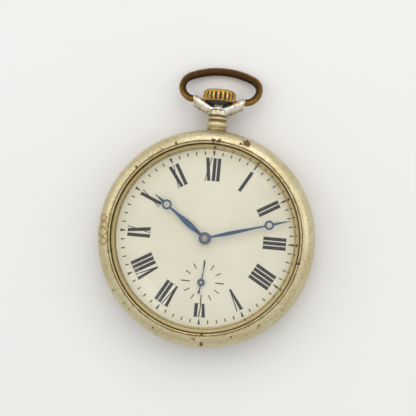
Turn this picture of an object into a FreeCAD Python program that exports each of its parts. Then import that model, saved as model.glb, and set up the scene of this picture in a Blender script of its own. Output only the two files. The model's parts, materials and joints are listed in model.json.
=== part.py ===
import FreeCAD, Part
import math
import os

import Sketcher
from FreeCAD import Placement, Rotation, Vector

# Open face pocket watch, lying on its back.  Millimetres.  +Z is the way the dial faces, +Y is
# twelve o'clock, and the origin is the middle of the flat face of the case back.

SIZES = {
    # case
    "case_radius": 24.7, "case_bulge": 8.66, "case_foot_radius": 24.45, "case_foot": 2.35,
    "case_shoulder": 7.7, "case_neck_radius": 22.9, "case_neck_top": 8.45,
    "rehaut_radius": 21.1, "rehaut_floor": 7.15, "flange_bore": 18.85, "flange_floor": 6.45,
    "movement_bore": 18.3, "movement_mouth": 2.6,
    "back_flat_radius": 16.5, "back_thickness": 0.6, "back_rim_radius": 24.35, "back_rim": 2.3,
    "back_outer_arc": 14.0, "back_inner_arc": 12.0, "back_lip_radius": 23.22,
    "back_lip_bore": 22.5, "back_lip_top": 3.2, "lip_seat_radius": 23.3, "lip_seat_top": 3.3,
    "bezel_foot": 7.75, "bezel_arc": 2.75, "bezel_crest_radius": 22.45, "bezel_crest": 9.86,
    "groove_radius": 22.245, "groove_floor": 9.66, "ridge_radius": 22.0, "ridge_top": 9.88,
    "lip_bore": 21.72, "lip_top": 9.66, "lip_bottom": 9.4, "bezel_bore": 21.95,
    "bezel_bore_top": 9.3, "bezel_seat": 8.55, "bezel_seat_radius": 23.0,
    "crystal_radius": 21.93, "crystal_foot": 8.85, "crystal_flange_top": 9.25,
    "crystal_wall_radius": 21.5, "crystal_edge_radius": 20.4, "crystal_edge": 10.75,
    "crystal_top": 11.9, "crystal_outer_arc": 181.51413043, "crystal_bore": 20.3,
    "crystal_inner_edge": 9.85, "crystal_inner_top": 10.9, "crystal_inner_arc": 196.75833333,
    # pendant, crown and bow
    "stem_height": 4.6, "pendant_foot": 24.5, "pendant_foot_radius": 2.2, "collar_start": 25.6,
    "collar_radius": 2.5, "collar_round": 0.7, "collar_length": 1.6, "waist_radius": 1.9,
    "waist_length": 0.55, "yoke_start": 28.6, "yoke_radius": 2.45, "yoke_base": 1.5,
    "arm_radius": 1.1, "arm_length": 5.9, "arm_root_x": 0.6, "arm_root_y": 29.75,
    "arm_rise": 27.0, "ear_reach": 5.75, "hinge_y": 32.0, "ear_bore": 0.6,
    "stem_bore": 0.65, "crown_foot": 31.25, "crown_foot_radius": 1.7, "crown_start": 32.4,
    "crown_radius": 3.85, "crown_length": 2.5, "crown_dome": 0.55, "crown_notch_gap": 0.25,
    "flute_cutter": 1.3, "flute_width": 0.5, "flute_depth": 0.3, "flutes": 22,
    "bow_wire": 0.8, "bow_half_width": 8.9, "bow_side_arc": 3.5, "bow_side_height": 3.3,
    "bow_height": 8.1, "bow_end_x": 6.1, "bow_pin": 0.55, "bow_pin_inner": 4.6,
    "bow_drop": 27.5,
    "stem_radius": 0.6, "stem_square": 0.84, "stem_square_start": 9.9, "stem_round_start": 12.9,
    "stem_end": 33.6, "stem_pilot": 0.35, "stem_tip": 8.3, "stem_groove": 0.35,
    "stem_groove_start": 14.7, "stem_groove_length": 0.6,
    # dial and hands
    "dial_radius": 20.9, "dial_bottom": 7.2, "dial_thickness": 0.4, "dial_hole": 1.35,
    "seconds_hole": 0.5, "seconds_y": -10.05, "subdial_radius": 5.3, "subdial_depth": 0.06,
    "seconds_hand_z": 7.95, "hour_hand_z": 8.45, "minute_hand_z": 9.0, "hand_thickness": 0.18,
    "hour_length": 15.3, "hour_boss": 1.4, "hour_bore": 1.05, "hour_ring_at": 11.7,
    "hour_ring_outer": 1.15, "hour_ring_inner": 0.75, "hour_belly_at": 4.6, "hour_belly_half": 0.66,
    "minute_length": 20.0, "minute_boss": 1.375, "minute_bore": 0.6, "minute_ring_at": 15.0,
    "minute_ring_outer": 1.05, "minute_ring_inner": 0.62, "minute_belly_at": 5.5,
    "minute_belly_half": 0.42, "minute_collar_radius": 0.95, "minute_collar_height": 0.3,
    "seconds_length": 5.1, "seconds_tail": 2.2, "seconds_hub": 0.85, "seconds_disc": 0.3,
    "seconds_bore": 0.2, "seconds_thickness": 0.12, "seconds_hub_thickness": 0.2,
    # movement levels
    "bridge_bottom": 1.8, "bridge_thickness": 1.1, "bridge_recess": 0.7, "movement_radius": 17.9,
    "arbor_bore": 0.87, "centre_bore": 0.42, "balance_well": 5.4,
    "case_screw_seat": 1.3, "case_screw_level": 5.5,
    "floor_bottom": 5.7, "floor_top": 6.3, "plate_radius": 18.25, "pocket_radius": 17.2,
    "wall_radius": 17.3, "flange_radius": 18.8, "flange_bottom": 6.5,
    "post_radius": 1.3, "screw_shank": 0.45, "screw_head": 0.95, "screw_head_height": 0.35,
    "screw_slot": 0.2, "jewel_radius": 0.5, "jewel_thickness": 0.4, "jewel_bore": 0.13,
    "pivot_radius": 0.1,
    # tooth modules and counts
    "barrel_module": 0.165, "barrel_teeth": 96, "centre_leaves": 12,
    "centre_module": 0.15, "centre_teeth": 80, "third_leaves": 10,
    "third_module": 0.13, "third_teeth": 75, "fourth_leaves": 10,
    "fourth_module": 0.11, "fourth_teeth": 70, "escape_leaves": 7, "escape_teeth": 15,
    "motion_module": 0.15, "cannon_leaves": 12, "minute_teeth": 36, "setting_teeth": 22,
    "hour_module": 0.144, "minute_leaves": 10, "hour_teeth": 40,
    "winding_module": 0.2, "ratchet_teeth": 56, "crown_wheel_teeth": 39,
    "winding_pinion_module": 0.19, "winding_pinion_teeth": 20,
    "sliding_pinion_module": 0.18, "sliding_pinion_teeth": 16,
}


def between(module, first_teeth, second_teeth):
    """Distance between the arbors of two meshing wheels."""
    return SIZES[module] * (SIZES[first_teeth] + SIZES[second_teeth]) / 2


def polar(radius, degrees, start=(0.0, 0.0)):
    turn = math.radians(degrees)
    return (start[0] + radius * math.cos(turn), start[1] + radius * math.sin(turn))


def crossing(first, first_reach, second, second_reach):
    """The point at given distances from two others, on the left of the line between them."""
    span = math.dist(first, second)
    along = (first_reach ** 2 - second_reach ** 2 + span ** 2) / (2 * span)
    aside = math.sqrt(first_reach ** 2 - along ** 2)
    way = ((second[0] - first[0]) / span, (second[1] - first[1]) / span)
    return (first[0] + along * way[0] + aside * way[1], first[1] + along * way[1] - aside * way[0])


# Where the hands point, clockwise from twelve, in degrees.
HOUR_ANGLE = 306.4
MINUTE_ANGLE = 73.5
SECONDS_ANGLE = 6.8

# Places of the arbors, seen from the dial.
CENTRE = (0.0, 0.0)
FOURTH = (0.0, SIZES["seconds_y"])
THIRD = crossing(CENTRE, between("centre_module", "centre_teeth", "third_leaves"),
                 FOURTH, between("third_module", "third_teeth", "fourth_leaves"))
BARREL = polar(between("barrel_module", "barrel_teeth", "centre_leaves"), 150)
ESCAPE = polar(between("fourth_module", "fourth_teeth", "escape_leaves"), 10, FOURTH)
BALANCE = (9.6, -6.0)
LEVER_ANGLE = math.degrees(math.atan2(BALANCE[1] - ESCAPE[1], BALANCE[0] - ESCAPE[0]))
PALLET = polar(3.0, LEVER_ANGLE, ESCAPE)
MINUTE = (0.0, between("motion_module", "cannon_leaves", "minute_teeth"))
SETTING = (0.0, MINUTE[1] + between("motion_module", "minute_teeth", "setting_teeth"))
CROWN_WHEEL = (0.0, 10.0)
CLICK = polar(7.75, 108, BARREL)
SETTING_LEVER = (-3.0, 15.5)
CLUTCH_LEVER = (3.4, 11.3)
COCK_FOOT = (14.2, 1.8)
BARREL_SCREWS = ((-4.2, 15.0), (10.5, 11.5), (-15.6, -1.5))
TRAIN_SCREWS = ((-10.5, -11.5), (2.6, -15.8))
CASE_SCREWS = (polar(17.4, 60), polar(17.4, 240))

doc = FreeCAD.newDocument("pocket_watch")
sheet = doc.addObject("Spreadsheet::Sheet", "Sizes")
for row, (alias, value) in enumerate(SIZES.items(), start=1):
    sheet.set(f"A{row}", alias)
    sheet.set(f"B{row}", str(value))
    sheet.setAlias(f"B{row}", alias)
doc.recompute()

nodes = []
UP = Rotation()
OUT = Rotation(Vector(0, 0, 1), Vector(0, 1, 0))
ACROSS = Rotation(Vector(0, 0, 1), Vector(1, 0, 0))


def measure(text):
    """The value of a sum such as 'dial_bottom + dial_thickness - 0.1'."""
    total = 0.0
    sign = 1
    for word in str(text).split():
        if word in "+-":
            sign = 1 if word == "+" else -1
        else:
            total += sign * float(sheet.get(word) if word in SIZES else word)
            sign = 1
    return total


def formula(text):
    return " ".join("Sizes." + word if word in SIZES else word for word in str(text).split())


def bind(thing, field, text):
    thing.setExpression(field, formula(text))


def node(label, thing):
    """Names a finished sub-part and keeps it for export."""
    thing.Label = label
    nodes.append(thing)
    return thing


def placed(thing, at, rotation=UP):
    thing.Placement = Placement(Vector(), rotation)
    for letter, text in zip("xyz", at):
        bind(thing, "Placement.Base." + letter, text)
    return thing


def rod(radius, height, at=(0, 0, 0), rotation=UP):
    thing = doc.addObject("Part::Cylinder", "rod")
    bind(thing, "Radius", radius)
    bind(thing, "Height", height)
    return placed(thing, at, rotation)


def cone(bottom, top, height, at=(0, 0, 0), rotation=UP):
    thing = doc.addObject("Part::Cone", "cone")
    bind(thing, "Radius1", bottom)
    bind(thing, "Radius2", top)
    bind(thing, "Height", height)
    return placed(thing, at, rotation)


def block(length, width, height, at):
    """A box centred on at in X and Y, and standing on at in Z."""
    thing = doc.addObject("Part::Box", "block")
    bind(thing, "Length", length)
    bind(thing, "Width", width)
    bind(thing, "Height", height)
    corner = (measure(at[0]) - measure(length) / 2, measure(at[1]) - measure(width) / 2, at[2])
    return placed(thing, corner)


def torus(ring, tube, at, rotation=UP):
    thing = doc.addObject("Part::Torus", "torus")
    bind(thing, "Radius1", ring)
    bind(thing, "Radius2", tube)
    return placed(thing, at, rotation)


def join(*pieces):
    thing = doc.addObject("Part::MultiFuse", "join")
    thing.Shapes = list(pieces)
    return thing


def cut(base, *tools):
    thing = doc.addObject("Part::Cut", "cut")
    thing.Base = base
    thing.Tool = tools[0] if len(tools) == 1 else join(*tools)
    return thing


def common(first, second):
    thing = doc.addObject("Part::Common", "common")
    thing.Base = first
    thing.Tool = second
    return thing


def shaped(shape, at=(0, 0, 0), degrees=0.0):
    """A shape built round its own arbor, then turned and set in its place."""
    thing = doc.addObject("Part::Feature", "shaped")
    thing.Shape = shape
    place = Vector(*[measure(text) for text in at])
    own = shape.Placement
    thing.Placement = Placement(place, Rotation(Vector(0, 0, 1), degrees)).multiply(own)
    return thing


def arc_middle(start, end, radius):
    """Middle of the arc from start to end; a positive radius bulges to the right."""
    run = end - start
    half = run.Length / 2
    rise = abs(radius) - math.sqrt(radius ** 2 - half ** 2)
    aside = Vector(run.y, -run.x, 0).normalize()
    return (start + end) * 0.5 + aside * math.copysign(rise, radius)


def turned(name, corners):
    """A body turned about Z.  Each corner is (radius, height) or (radius, height, arc radius),
    where the arc runs from that corner to the next."""
    body = doc.addObject("PartDesign::Body", name + "_body")
    sketch = body.newObject("Sketcher::SketchObject", name + "_outline")
    plane = next(item for item in body.Origin.OriginFeatures if item.Role == "XZ_Plane")
    sketch.AttachmentSupport = [(plane, "")]
    sketch.MapMode = "FlatFace"
    points = [Vector(measure(corner[0]), measure(corner[1]), 0) for corner in corners]
    ends = []
    for index, corner in enumerate(corners):
        start = points[index]
        end = points[(index + 1) % len(points)]
        if len(corner) > 2:
            middle = arc_middle(start, end, math.copysign(measure(corner[2].strip("-")),
                                                          -1 if corner[2][0] == "-" else 1))
            edge = sketch.addGeometry(Part.Arc(start, middle, end), False)
        else:
            edge = sketch.addGeometry(Part.LineSegment(start, end), False)
        first = 1 if (sketch.getPoint(edge, 1) - start).Length < 1e-6 else 2
        ends.append((edge, first, 3 - first))
    for index, corner in enumerate(corners):
        edge, first, last = ends[index]
        following, next_first, next_last = ends[(index + 1) % len(ends)]
        sketch.addConstraint(Sketcher.Constraint("Coincident", edge, last, following, next_first))
        for letter, text, axis in (("X", corner[0], -2), ("Y", corner[1], -1)):
            value = measure(text)
            if value == 0:
                sketch.addConstraint(Sketcher.Constraint("PointOnObject", edge, first, axis))
                continue
            place = sketch.addConstraint(
                Sketcher.Constraint("Distance" + letter, edge, first, value))
            sketch.renameConstraint(place, f"corner_{index}_{letter}")
            bind(sketch, f"Constraints.corner_{index}_{letter}", text)
        if len(corner) > 2:
            text = corner[2].strip("-")
            place = sketch.addConstraint(Sketcher.Constraint("Radius", edge, measure(text)))
            sketch.renameConstraint(place, f"arc_{index}")
            bind(sketch, f"Constraints.arc_{index}", text)
    turn = body.newObject("PartDesign::Revolution", name + "_turn")
    turn.Profile = sketch
    turn.ReferenceAxis = (sketch, ["V_Axis"])
    turn.Angle = 360
    body.Tip = turn
    return body


# Shapes that repeat -------------------------------------------------------------------------

def teeth_wire(count, module, tip=1.0, root=1.25):
    """Outline of a toothed wheel, one tooth centred on +X."""
    pitch_radius = count * module / 2
    pitch_angle = 2 * math.pi / count
    steps = ((-0.29, -root), (-0.11, tip), (0.11, tip), (0.29, -root))
    points = []
    for tooth in range(count):
        for share, height in steps:
            turn = (tooth + share) * pitch_angle
            radius = pitch_radius + height * module
            points.append(Vector(radius * math.cos(turn), radius * math.sin(turn), 0))
    return Part.makePolygon(points + points[:1])


def toothed(count, module, thickness, z=0.0, degrees=0.0):
    wheel = Part.Face(teeth_wire(count, module)).extrude(Vector(0, 0, thickness))
    wheel.rotate(Vector(), Vector(0, 0, 1), degrees)
    wheel.translate(Vector(0, 0, z))
    return wheel


def disc(radius, thickness, z=0.0, x=0.0, y=0.0):
    return Part.makeCylinder(radius, thickness, Vector(x, y, z))


def spokes(outer, hub, arms, width, thickness, z=0.0):
    """The windows between the arms of a wheel, as one tool to cut away."""
    window = disc(outer, thickness, z).cut(disc(hub, thickness, z))
    for arm in range(arms):
        bar = Part.makeBox(outer * 2, width, thickness, Vector(0, -width / 2, z))
        bar.rotate(Vector(), Vector(0, 0, 1), 360 * arm / arms)
        window = window.cut(bar)
    return window


def meshing(first, first_count, first_phase, second, second_count):
    """Angle that puts a tooth gap of the second wheel over a tooth of the first, in degrees."""
    line = math.degrees(math.atan2(second[1] - first[1], second[0] - first[0]))
    pitch = 360 / first_count
    offset = (first_phase - line + pitch / 2) % pitch - pitch / 2
    return line + 180 - (first_count * offset + 180) / second_count


def merged(first, *others):
    return first.fuse(list(others)).removeSplitter()


def arbor(low, high, radius, pivot_low, pivot_high):
    """A staff with a thin pivot at each end."""
    pivot = measure("pivot_radius")
    return merged(disc(radius, high - low, low), disc(pivot, low - pivot_low, pivot_low),
                  disc(pivot, pivot_high - high, high))


def spiral(inner, turns, pitch, width, height, z):
    """A flat coiled strip made of half circles whose centres swap sides."""
    def side(offset):
        edges = []
        for half in range(int(turns * 2)):
            radius = inner + offset + half * pitch / 2
            way = 1 if half % 2 == 0 else -1
            centre = Vector(-pitch / 4 * way, 0, 0)
            start = centre + Vector(radius * way, 0, 0)
            crest = centre + Vector(0, radius * way, 0)
            end = centre - Vector(radius * way, 0, 0)
            edges.append(Part.Arc(start, crest, end).toShape())
        return edges
    inner_side = side(0.0)
    outer_side = side(width)
    caps = [Part.LineSegment(inner_side[0].Vertexes[0].Point, outer_side[0].Vertexes[0].Point),
            Part.LineSegment(inner_side[-1].Vertexes[-1].Point, outer_side[-1].Vertexes[-1].Point)]
    wire = Part.Wire(Part.__sortEdges__(inner_side + outer_side + [c.toShape() for c in caps]))
    strip = Part.Face(wire).extrude(Vector(0, 0, height))
    strip.translate(Vector(0, 0, z))
    return strip


def screw_shape(head, head_height, shank, length, slot):
    """A slotted screw standing head down, its head's underside at Z 0."""
    body = merged(disc(head, head_height, -head_height), disc(shank, length))
    groove = Part.makeBox(head * 2.2, slot, head_height / 2,
                          Vector(-head * 1.1, -slot / 2, -head_height))
    return body.cut(groove)


# Case ---------------------------------------------------------------------------------------

def pendant_axis(radius, start, length):
    return rod(radius, length, (0, start, "stem_height"), OUT)


def case_screw_seats():
    """Tools that clear the way for the screws that hold the movement in the case."""
    return [rod("case_screw_seat", "case_screw_level", (x, y, 0)) for x, y in CASE_SCREWS]


def case_middle():
    ring = turned("case_middle", (
        ("case_foot_radius", "case_foot", "case_bulge"),
        ("case_radius", "case_shoulder"),
        ("case_neck_radius", "case_shoulder"),
        ("case_neck_radius", "case_neck_top"),
        ("rehaut_radius", "case_neck_top"),
        ("rehaut_radius", "rehaut_floor"),
        ("flange_bore", "rehaut_floor"),
        ("flange_bore", "flange_floor"),
        ("movement_bore", "flange_floor"),
        ("movement_bore", "movement_mouth"),
        ("back_lip_bore", "movement_mouth"),
        ("back_lip_bore", "lip_seat_top"),
        ("lip_seat_radius", "lip_seat_top"),
        ("lip_seat_radius", "case_foot"),
    ))
    node("case_middle", cut(ring, pendant_axis("stem_bore + 0.1", 17, 9), *case_screw_seats()))


def case_back():
    node("case_back", turned("case_back", (
        (0, 0),
        ("back_flat_radius", 0, "back_outer_arc"),
        ("back_rim_radius", "back_rim"),
        ("back_lip_radius", "back_rim"),
        ("back_lip_radius", "back_lip_top"),
        ("back_lip_bore + 0.1", "back_lip_top"),
        ("back_lip_bore + 0.1", "back_rim - 0.15", "-back_inner_arc"),
        ("back_flat_radius - 0.2", "back_thickness"),
        (0, "back_thickness"),
    )))


def bezel():
    node("bezel", turned("bezel", (
        ("case_radius", "bezel_foot", "bezel_arc"),
        ("bezel_crest_radius", "bezel_crest"),
        ("groove_radius", "groove_floor"),
        ("ridge_radius", "ridge_top"),
        ("lip_bore", "lip_top"),
        ("lip_bore", "lip_bottom"),
        ("bezel_bore", "bezel_bore_top"),
        ("bezel_bore", "bezel_seat"),
        ("bezel_seat_radius", "bezel_seat"),
        ("bezel_seat_radius", "bezel_foot"),
    )))


def crystal():
    """A domed acrylic crystal; its flange snaps in under the bezel's lip."""
    node("crystal", turned("crystal", (
        ("crystal_bore", "crystal_foot"),
        ("crystal_radius", "crystal_foot"),
        ("crystal_radius", "crystal_flange_top"),
        ("crystal_wall_radius", "crystal_flange_top"),
        ("crystal_edge_radius", "crystal_edge", "crystal_outer_arc"),
        (0, "crystal_top"),
        (0, "crystal_inner_top", "-crystal_inner_arc"),
        ("crystal_bore", "crystal_inner_edge"),
    )))


def pendant():
    foot = pendant_axis("pendant_foot_radius", "pendant_foot", "yoke_start - pendant_foot")
    collar = pendant_axis("collar_radius - collar_round", "collar_start", "collar_length")
    bead = torus("collar_radius - collar_round", "collar_round",
                 (0, "collar_start + 0.8", "stem_height"), OUT)
    waist = cut(pendant_axis("collar_radius + 0.5", "collar_start + collar_length", "waist_length"),
                pendant_axis("waist_radius", "collar_start", 3))
    solid = cut(join(foot, collar, bead), waist)
    shell = pendant_axis("stem_bore + 0.1", "pendant_foot - 1", 6)
    socket = rod("case_radius + 0.32", 20)
    node("pendant_neck", cut(solid, shell, socket))


def yoke():
    base = pendant_axis("yoke_radius", "yoke_start", "yoke_base")
    arms = []
    for side in (1, -1):
        way = Vector(side * math.cos(math.radians(SIZES["arm_rise"])),
                     math.sin(math.radians(SIZES["arm_rise"])), 0)
        root = (side * SIZES["arm_root_x"], "arm_root_y", "stem_height")
        arms.append(rod("arm_radius", "arm_length", root, Rotation(Vector(0, 0, 1), way)))
    ends = [block(4, 8, 8, (side * (SIZES["ear_reach"] + 2), "hinge_y", 0.6)) for side in (1, -1)]
    notch = cone("crown_foot_radius", "crown_radius + crown_notch_gap", 1.6,
                 (0, "crown_foot - crown_notch_gap", "stem_height"), OUT)
    room = pendant_axis("crown_radius + crown_notch_gap", "crown_start - 0.05", 4)
    ears = rod("ear_bore", 16, (-8, "hinge_y", "stem_height"), ACROSS)
    node("bow_yoke", cut(join(base, *arms), *ends, notch, room, ears,
                         pendant_axis("stem_bore + 0.1", 28, 5)))


def crown():
    skirt = cone("crown_foot_radius - 0.1", "crown_radius - 0.3", "crown_start - crown_foot",
                 (0, "crown_foot", "stem_height"), OUT)
    drum = pendant_axis("crown_radius", "crown_start", "crown_length")
    dome = cone("crown_radius - 0.25", "crown_radius - 1.6", "crown_dome",
                (0, "crown_start + crown_length", "stem_height"), OUT)
    flutes = []
    count = int(SIZES["flutes"])
    reach = SIZES["crown_radius"] + SIZES["flute_cutter"] - SIZES["flute_depth"]
    middle = SIZES["crown_start"] + SIZES["crown_length"] / 2
    for flute in range(count):
        turn = 360 * flute / count
        x, z = polar(reach, turn, (0.0, SIZES["stem_height"]))
        across = Vector(-math.sin(math.radians(turn)), 0, math.cos(math.radians(turn)))
        start = Vector(x, middle, z) - across * (SIZES["flute_width"] / 2)
        flutes.append(rod("flute_cutter", "flute_width", tuple(start),
                          Rotation(Vector(0, 0, 1), across)))
    socket = pendant_axis("stem_radius", "crown_foot - 1", "stem_end - crown_foot + 1")
    node("crown", cut(join(skirt, drum, dome), socket, *flutes))


def bow():
    """An oval of round wire, open at the bottom, its two ends turned into the ears.  It is built
    flat round its hinge and hangs down to the surface that the watch lies on."""
    side_arc = SIZES["bow_side_arc"]
    side_x = SIZES["bow_half_width"] - side_arc
    side_y = SIZES["bow_side_height"]
    rise = SIZES["bow_height"] - side_y - side_arc
    drop = (side_x ** 2 - rise ** 2) / (2 * rise)
    top_arc = side_arc + rise + drop
    join_angle = math.degrees(math.atan2(drop, side_x))
    end_x = SIZES["bow_end_x"]
    inset = end_x - side_x
    end_arc = (inset ** 2 + side_y ** 2 - side_arc ** 2) / (2 * (side_y - side_arc))
    end_angle = math.degrees(math.atan2(end_arc - side_y, inset))
    top_centre = (0.0, side_y - drop)
    path = [Part.Arc(*[Vector(*polar(top_arc, turn, top_centre), 0)
                       for turn in (180 - join_angle, 90, join_angle)]).toShape()]
    for side in (1, -1):
        for radius, centre, first, last in (
                (side_arc, (side_x, side_y), join_angle, end_angle),
                (end_arc, (end_x, end_arc), end_angle, -90.0)):
            points = [polar(radius, turn, centre) for turn in (first, (first + last) / 2, last)]
            path.append(Part.Arc(*[Vector(side * x, y, 0) for x, y in points]).toShape())
    wire = Part.Wire(Part.__sortEdges__(path))
    section = Part.Wire([Part.makeCircle(SIZES["bow_wire"], Vector(end_x, 0, 0), Vector(1, 0, 0))])
    solid = wire.makePipeShell([section], True, True)
    reach = end_x - SIZES["bow_pin_inner"]
    for start in (SIZES["bow_pin_inner"], -end_x):
        pin = Part.makeCylinder(SIZES["bow_pin"], reach, Vector(start, 0, 0), Vector(1, 0, 0))
        solid = solid.fuse(pin)
    solid.rotate(Vector(), Vector(1, 0, 0), -SIZES["bow_drop"])
    node("bow", shaped(solid, (0, "hinge_y", "stem_height")))


def stem():
    square = block("stem_square", "stem_round_start - stem_square_start", "stem_square",
                   (0, (SIZES["stem_round_start"] + SIZES["stem_square_start"]) / 2,
                    SIZES["stem_height"] - SIZES["stem_square"] / 2))
    pilot = pendant_axis("stem_pilot", "stem_tip", "stem_square_start - stem_tip")
    shaft = pendant_axis("stem_radius", "stem_round_start", "stem_end - stem_round_start")
    groove = cut(pendant_axis(1, "stem_groove_start", "stem_groove_length"),
                 pendant_axis("stem_groove", 14, 3))
    node("winding_stem", cut(join(square, pilot, shaft), groove))


# Dial and hands -----------------------------------------------------------------------------

def dial():
    plate = rod("dial_radius", "dial_thickness", (0, 0, "dial_bottom"))
    feet = [rod(0.4, 0.7, (*polar(14.5, turn), "dial_bottom - 0.7")) for turn in (-15, 195)]
    middle = rod("dial_hole", 2, (0, 0, 6.8))
    small = rod("seconds_hole", 2, (0, "seconds_y", 6.8))
    ring = rod("subdial_radius", 1, (0, "seconds_y", "dial_bottom + dial_thickness - subdial_depth"))
    node("dial", cut(join(plate, *feet), middle, small, ring))


def flat(points):
    return Part.Face(Part.makePolygon([Vector(x, y, 0) for x, y in points + points[:1]]))


def leaf(start, end, start_half, belly, belly_half, end_half):
    """A slim leaf along +Y, with curved sides."""
    def side(sign):
        curve = Part.BSplineCurve()
        curve.interpolate([Vector(sign * start_half, start, 0), Vector(sign * belly_half, belly, 0),
                           Vector(sign * end_half, end, 0)])
        return curve.toShape()
    left = side(-1)
    right = side(1)
    foot = Part.makeLine(left.Vertexes[0].Point, right.Vertexes[0].Point)
    head = Part.makeLine(left.Vertexes[-1].Point, right.Vertexes[-1].Point)
    return Part.Face(Part.Wire(Part.__sortEdges__([left, head, right, foot])))


def ring_hand(hand):
    """A leaf hand with a pierced ring near its point."""
    thickness, length, boss, bore, ring_at, ring_outer, ring_inner, belly_at, belly_half = (
        SIZES["hand_thickness"], *(SIZES[f"{hand}_{size}"] for size in (
            "length", "boss", "bore", "ring_at", "ring_outer", "ring_inner", "belly_at", "belly_half")))
    shaft = leaf(boss * 0.8, ring_at - ring_inner, 0.3, belly_at, belly_half, 0.14)
    tip = flat([(-0.3, ring_at + ring_inner), (0.3, ring_at + ring_inner), (0.05, length),
                (-0.05, length)])
    pieces = [face.extrude(Vector(0, 0, thickness)) for face in (shaft, tip)]
    body = merged(disc(boss, thickness), disc(ring_outer, thickness, 0, 0, ring_at), *pieces)
    window = disc(ring_inner, thickness, 0, 0, ring_at)
    return body.cut(window).cut(disc(bore, thickness))


def needle_hand():
    """The small seconds hand: a needle, a hub, and a tail that ends in a disc."""
    size = SIZES
    thickness = size["seconds_thickness"]
    needle = flat([(-0.11, 0.6), (0.11, 0.6), (0.05, size["seconds_length"]), (-0.05, size["seconds_length"])])
    tail = flat([(-0.1, -2.0), (0.1, -2.0), (0.1, -0.6), (-0.1, -0.6)])
    pieces = [face.extrude(Vector(0, 0, thickness)) for face in (needle, tail)]
    hub = disc(size["seconds_hub"], size["seconds_hub_thickness"], -0.05)
    end = disc(size["seconds_disc"], thickness, 0, 0, -size["seconds_tail"])
    return merged(hub, end, *pieces).cut(disc(size["seconds_bore"], 1, -0.5))


def hands():
    node("hour_hand", shaped(ring_hand("hour"), (0, 0, "hour_hand_z"), -HOUR_ANGLE))
    collar = disc(SIZES["minute_collar_radius"], SIZES["minute_collar_height"])
    collar = collar.cut(disc(SIZES["minute_bore"], 1))
    minute = merged(ring_hand("minute"), collar)
    node("minute_hand", shaped(minute, (0, 0, "minute_hand_z"), -MINUTE_ANGLE))
    node("seconds_hand", shaped(needle_hand(), (0, "seconds_y", "seconds_hand_z"), -SECONDS_ANGLE))


# Plates and bridges -------------------------------------------------------------------------

def main_plate():
    depth = "floor_bottom - 2.9"
    floor = rod("plate_radius", "floor_top - floor_bottom", (0, 0, "floor_bottom"))
    rim = cut(rod("plate_radius", "dial_bottom - floor_top", (0, 0, "floor_top")),
              rod("pocket_radius", 2, (0, 0, "floor_top")))
    flange = cut(rod("flange_radius", "rehaut_floor - flange_bottom", (0, 0, "flange_bottom")),
                 rod("pocket_radius", 3, (0, 0, 5)))
    wall = cut(rod("plate_radius", depth, (0, 0, 2.9)), rod("wall_radius", 4, (0, 0, 2)))
    posts = [rod("post_radius", depth, (x, y, 2.9)) for x, y in BARREL_SCREWS + TRAIN_SCREWS]
    posts.append(rod(1.9, "floor_bottom - 3.2", (*COCK_FOOT, 3.2)))
    guide = block(5.2, 2.9, depth, (0, 16.15, 2.9))
    pilot = block(1.6, 0.8, "floor_bottom - 3.9", (0, 9.4, 3.9))
    studs = [rod(0.45, 0.7, (*MINUTE, "floor_top")), rod(0.45, 0.4, (*SETTING, "floor_top")),
             rod(0.4, 0.35, (*SETTING_LEVER, "floor_top")),
             rod(0.4, 0.35, (*CLUTCH_LEVER, "floor_top"))]
    holes = [pendant_axis("stem_bore", 14, 6),
             pendant_axis("stem_pilot + 0.06", 8, 2),
             rod("centre_bore", 2, (*CENTRE, 5)),
             rod("arbor_bore", 2, (*BARREL, 5)),
             block(4.6, 4.7, 0.8, (0, 12.2, 5.6)),
             block(0.9, 2.0, 2, (0, 15.6, 4.9))]
    holes += [rod("jewel_radius", 1, (*place, "floor_bottom - 0.2"))
              for place in (THIRD, FOURTH, ESCAPE, PALLET, BALANCE)]
    holes += [rod("screw_shank", 2.6, (x, y, 2.8)) for x, y in BARREL_SCREWS + TRAIN_SCREWS]
    holes.append(rod("screw_shank", 2.6, (*COCK_FOOT, 3)))
    for x, y in CASE_SCREWS:
        holes += [rod("case_screw_seat", 2.8, (x, y, 2.7)), rod(0.5, 1.5, (x, y, 5.4))]
    node("main_plate", cut(join(floor, rim, flange, wall, *posts, guide, pilot, *studs), *holes))


BARREL_EDGE = [(-18.5, -5.65), (-3.2, -1.2), (-1.9, 1.9), (6.5, 3.4), (18.5, 8.2)]
TRAIN_EDGE = [(-18.5, -5.95), (-3.05, -1.55), (-1.7, 1.6), (3.8, 2.55), (4.6, -2.0), (5.6, -11.0),
              (8.0, -18.5), (-18.5, -18.5)]


def bridge(label, edge, openings):
    """A bridge: the movement's disc, kept on one side of an edge, with its openings cut out."""
    blank = rod("movement_radius", "bridge_thickness", (0, 0, "bridge_bottom"))
    side = shaped(flat(edge).extrude(Vector(0, 0, SIZES["bridge_thickness"])), (0, 0, "bridge_bottom"))
    node(label, cut(common(blank, side), *openings, *case_screw_seats()))


def bridges():
    sunk = "bridge_bottom + bridge_recess"
    recesses = [rod(radius, "bridge_recess", (*place, "bridge_bottom"))
                for radius, place in ((6.0, BARREL), (4.3, CROWN_WHEEL), (2.9, CLICK))]
    holes = [rod("arbor_bore", 2, (*BARREL, 1.5)), rod("screw_shank", 1, (*CROWN_WHEEL, sunk)),
             rod(0.3, 1, (*CLICK, sunk)), block(4.6, 1.8, 1.5, (0, 13.65, 2.4))]
    holes += [rod("screw_shank", 2, (x, y, 1.5)) for x, y in BARREL_SCREWS]
    bridge("barrel_bridge", BARREL_EDGE + [(18.5, 18.5), (-18.5, 18.5)], recesses + holes)
    holes = [rod("balance_well", 3, (*BALANCE, 1)), rod("centre_bore", 2, (*CENTRE, 1.5))]
    holes += [rod("jewel_radius", 1.5, (*place, 1.6)) for place in (THIRD, FOURTH, ESCAPE)]
    holes += [rod("screw_shank", 2, (x, y, 1.5)) for x, y in TRAIN_SCREWS]
    bridge("train_bridge", TRAIN_EDGE, holes)


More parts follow.
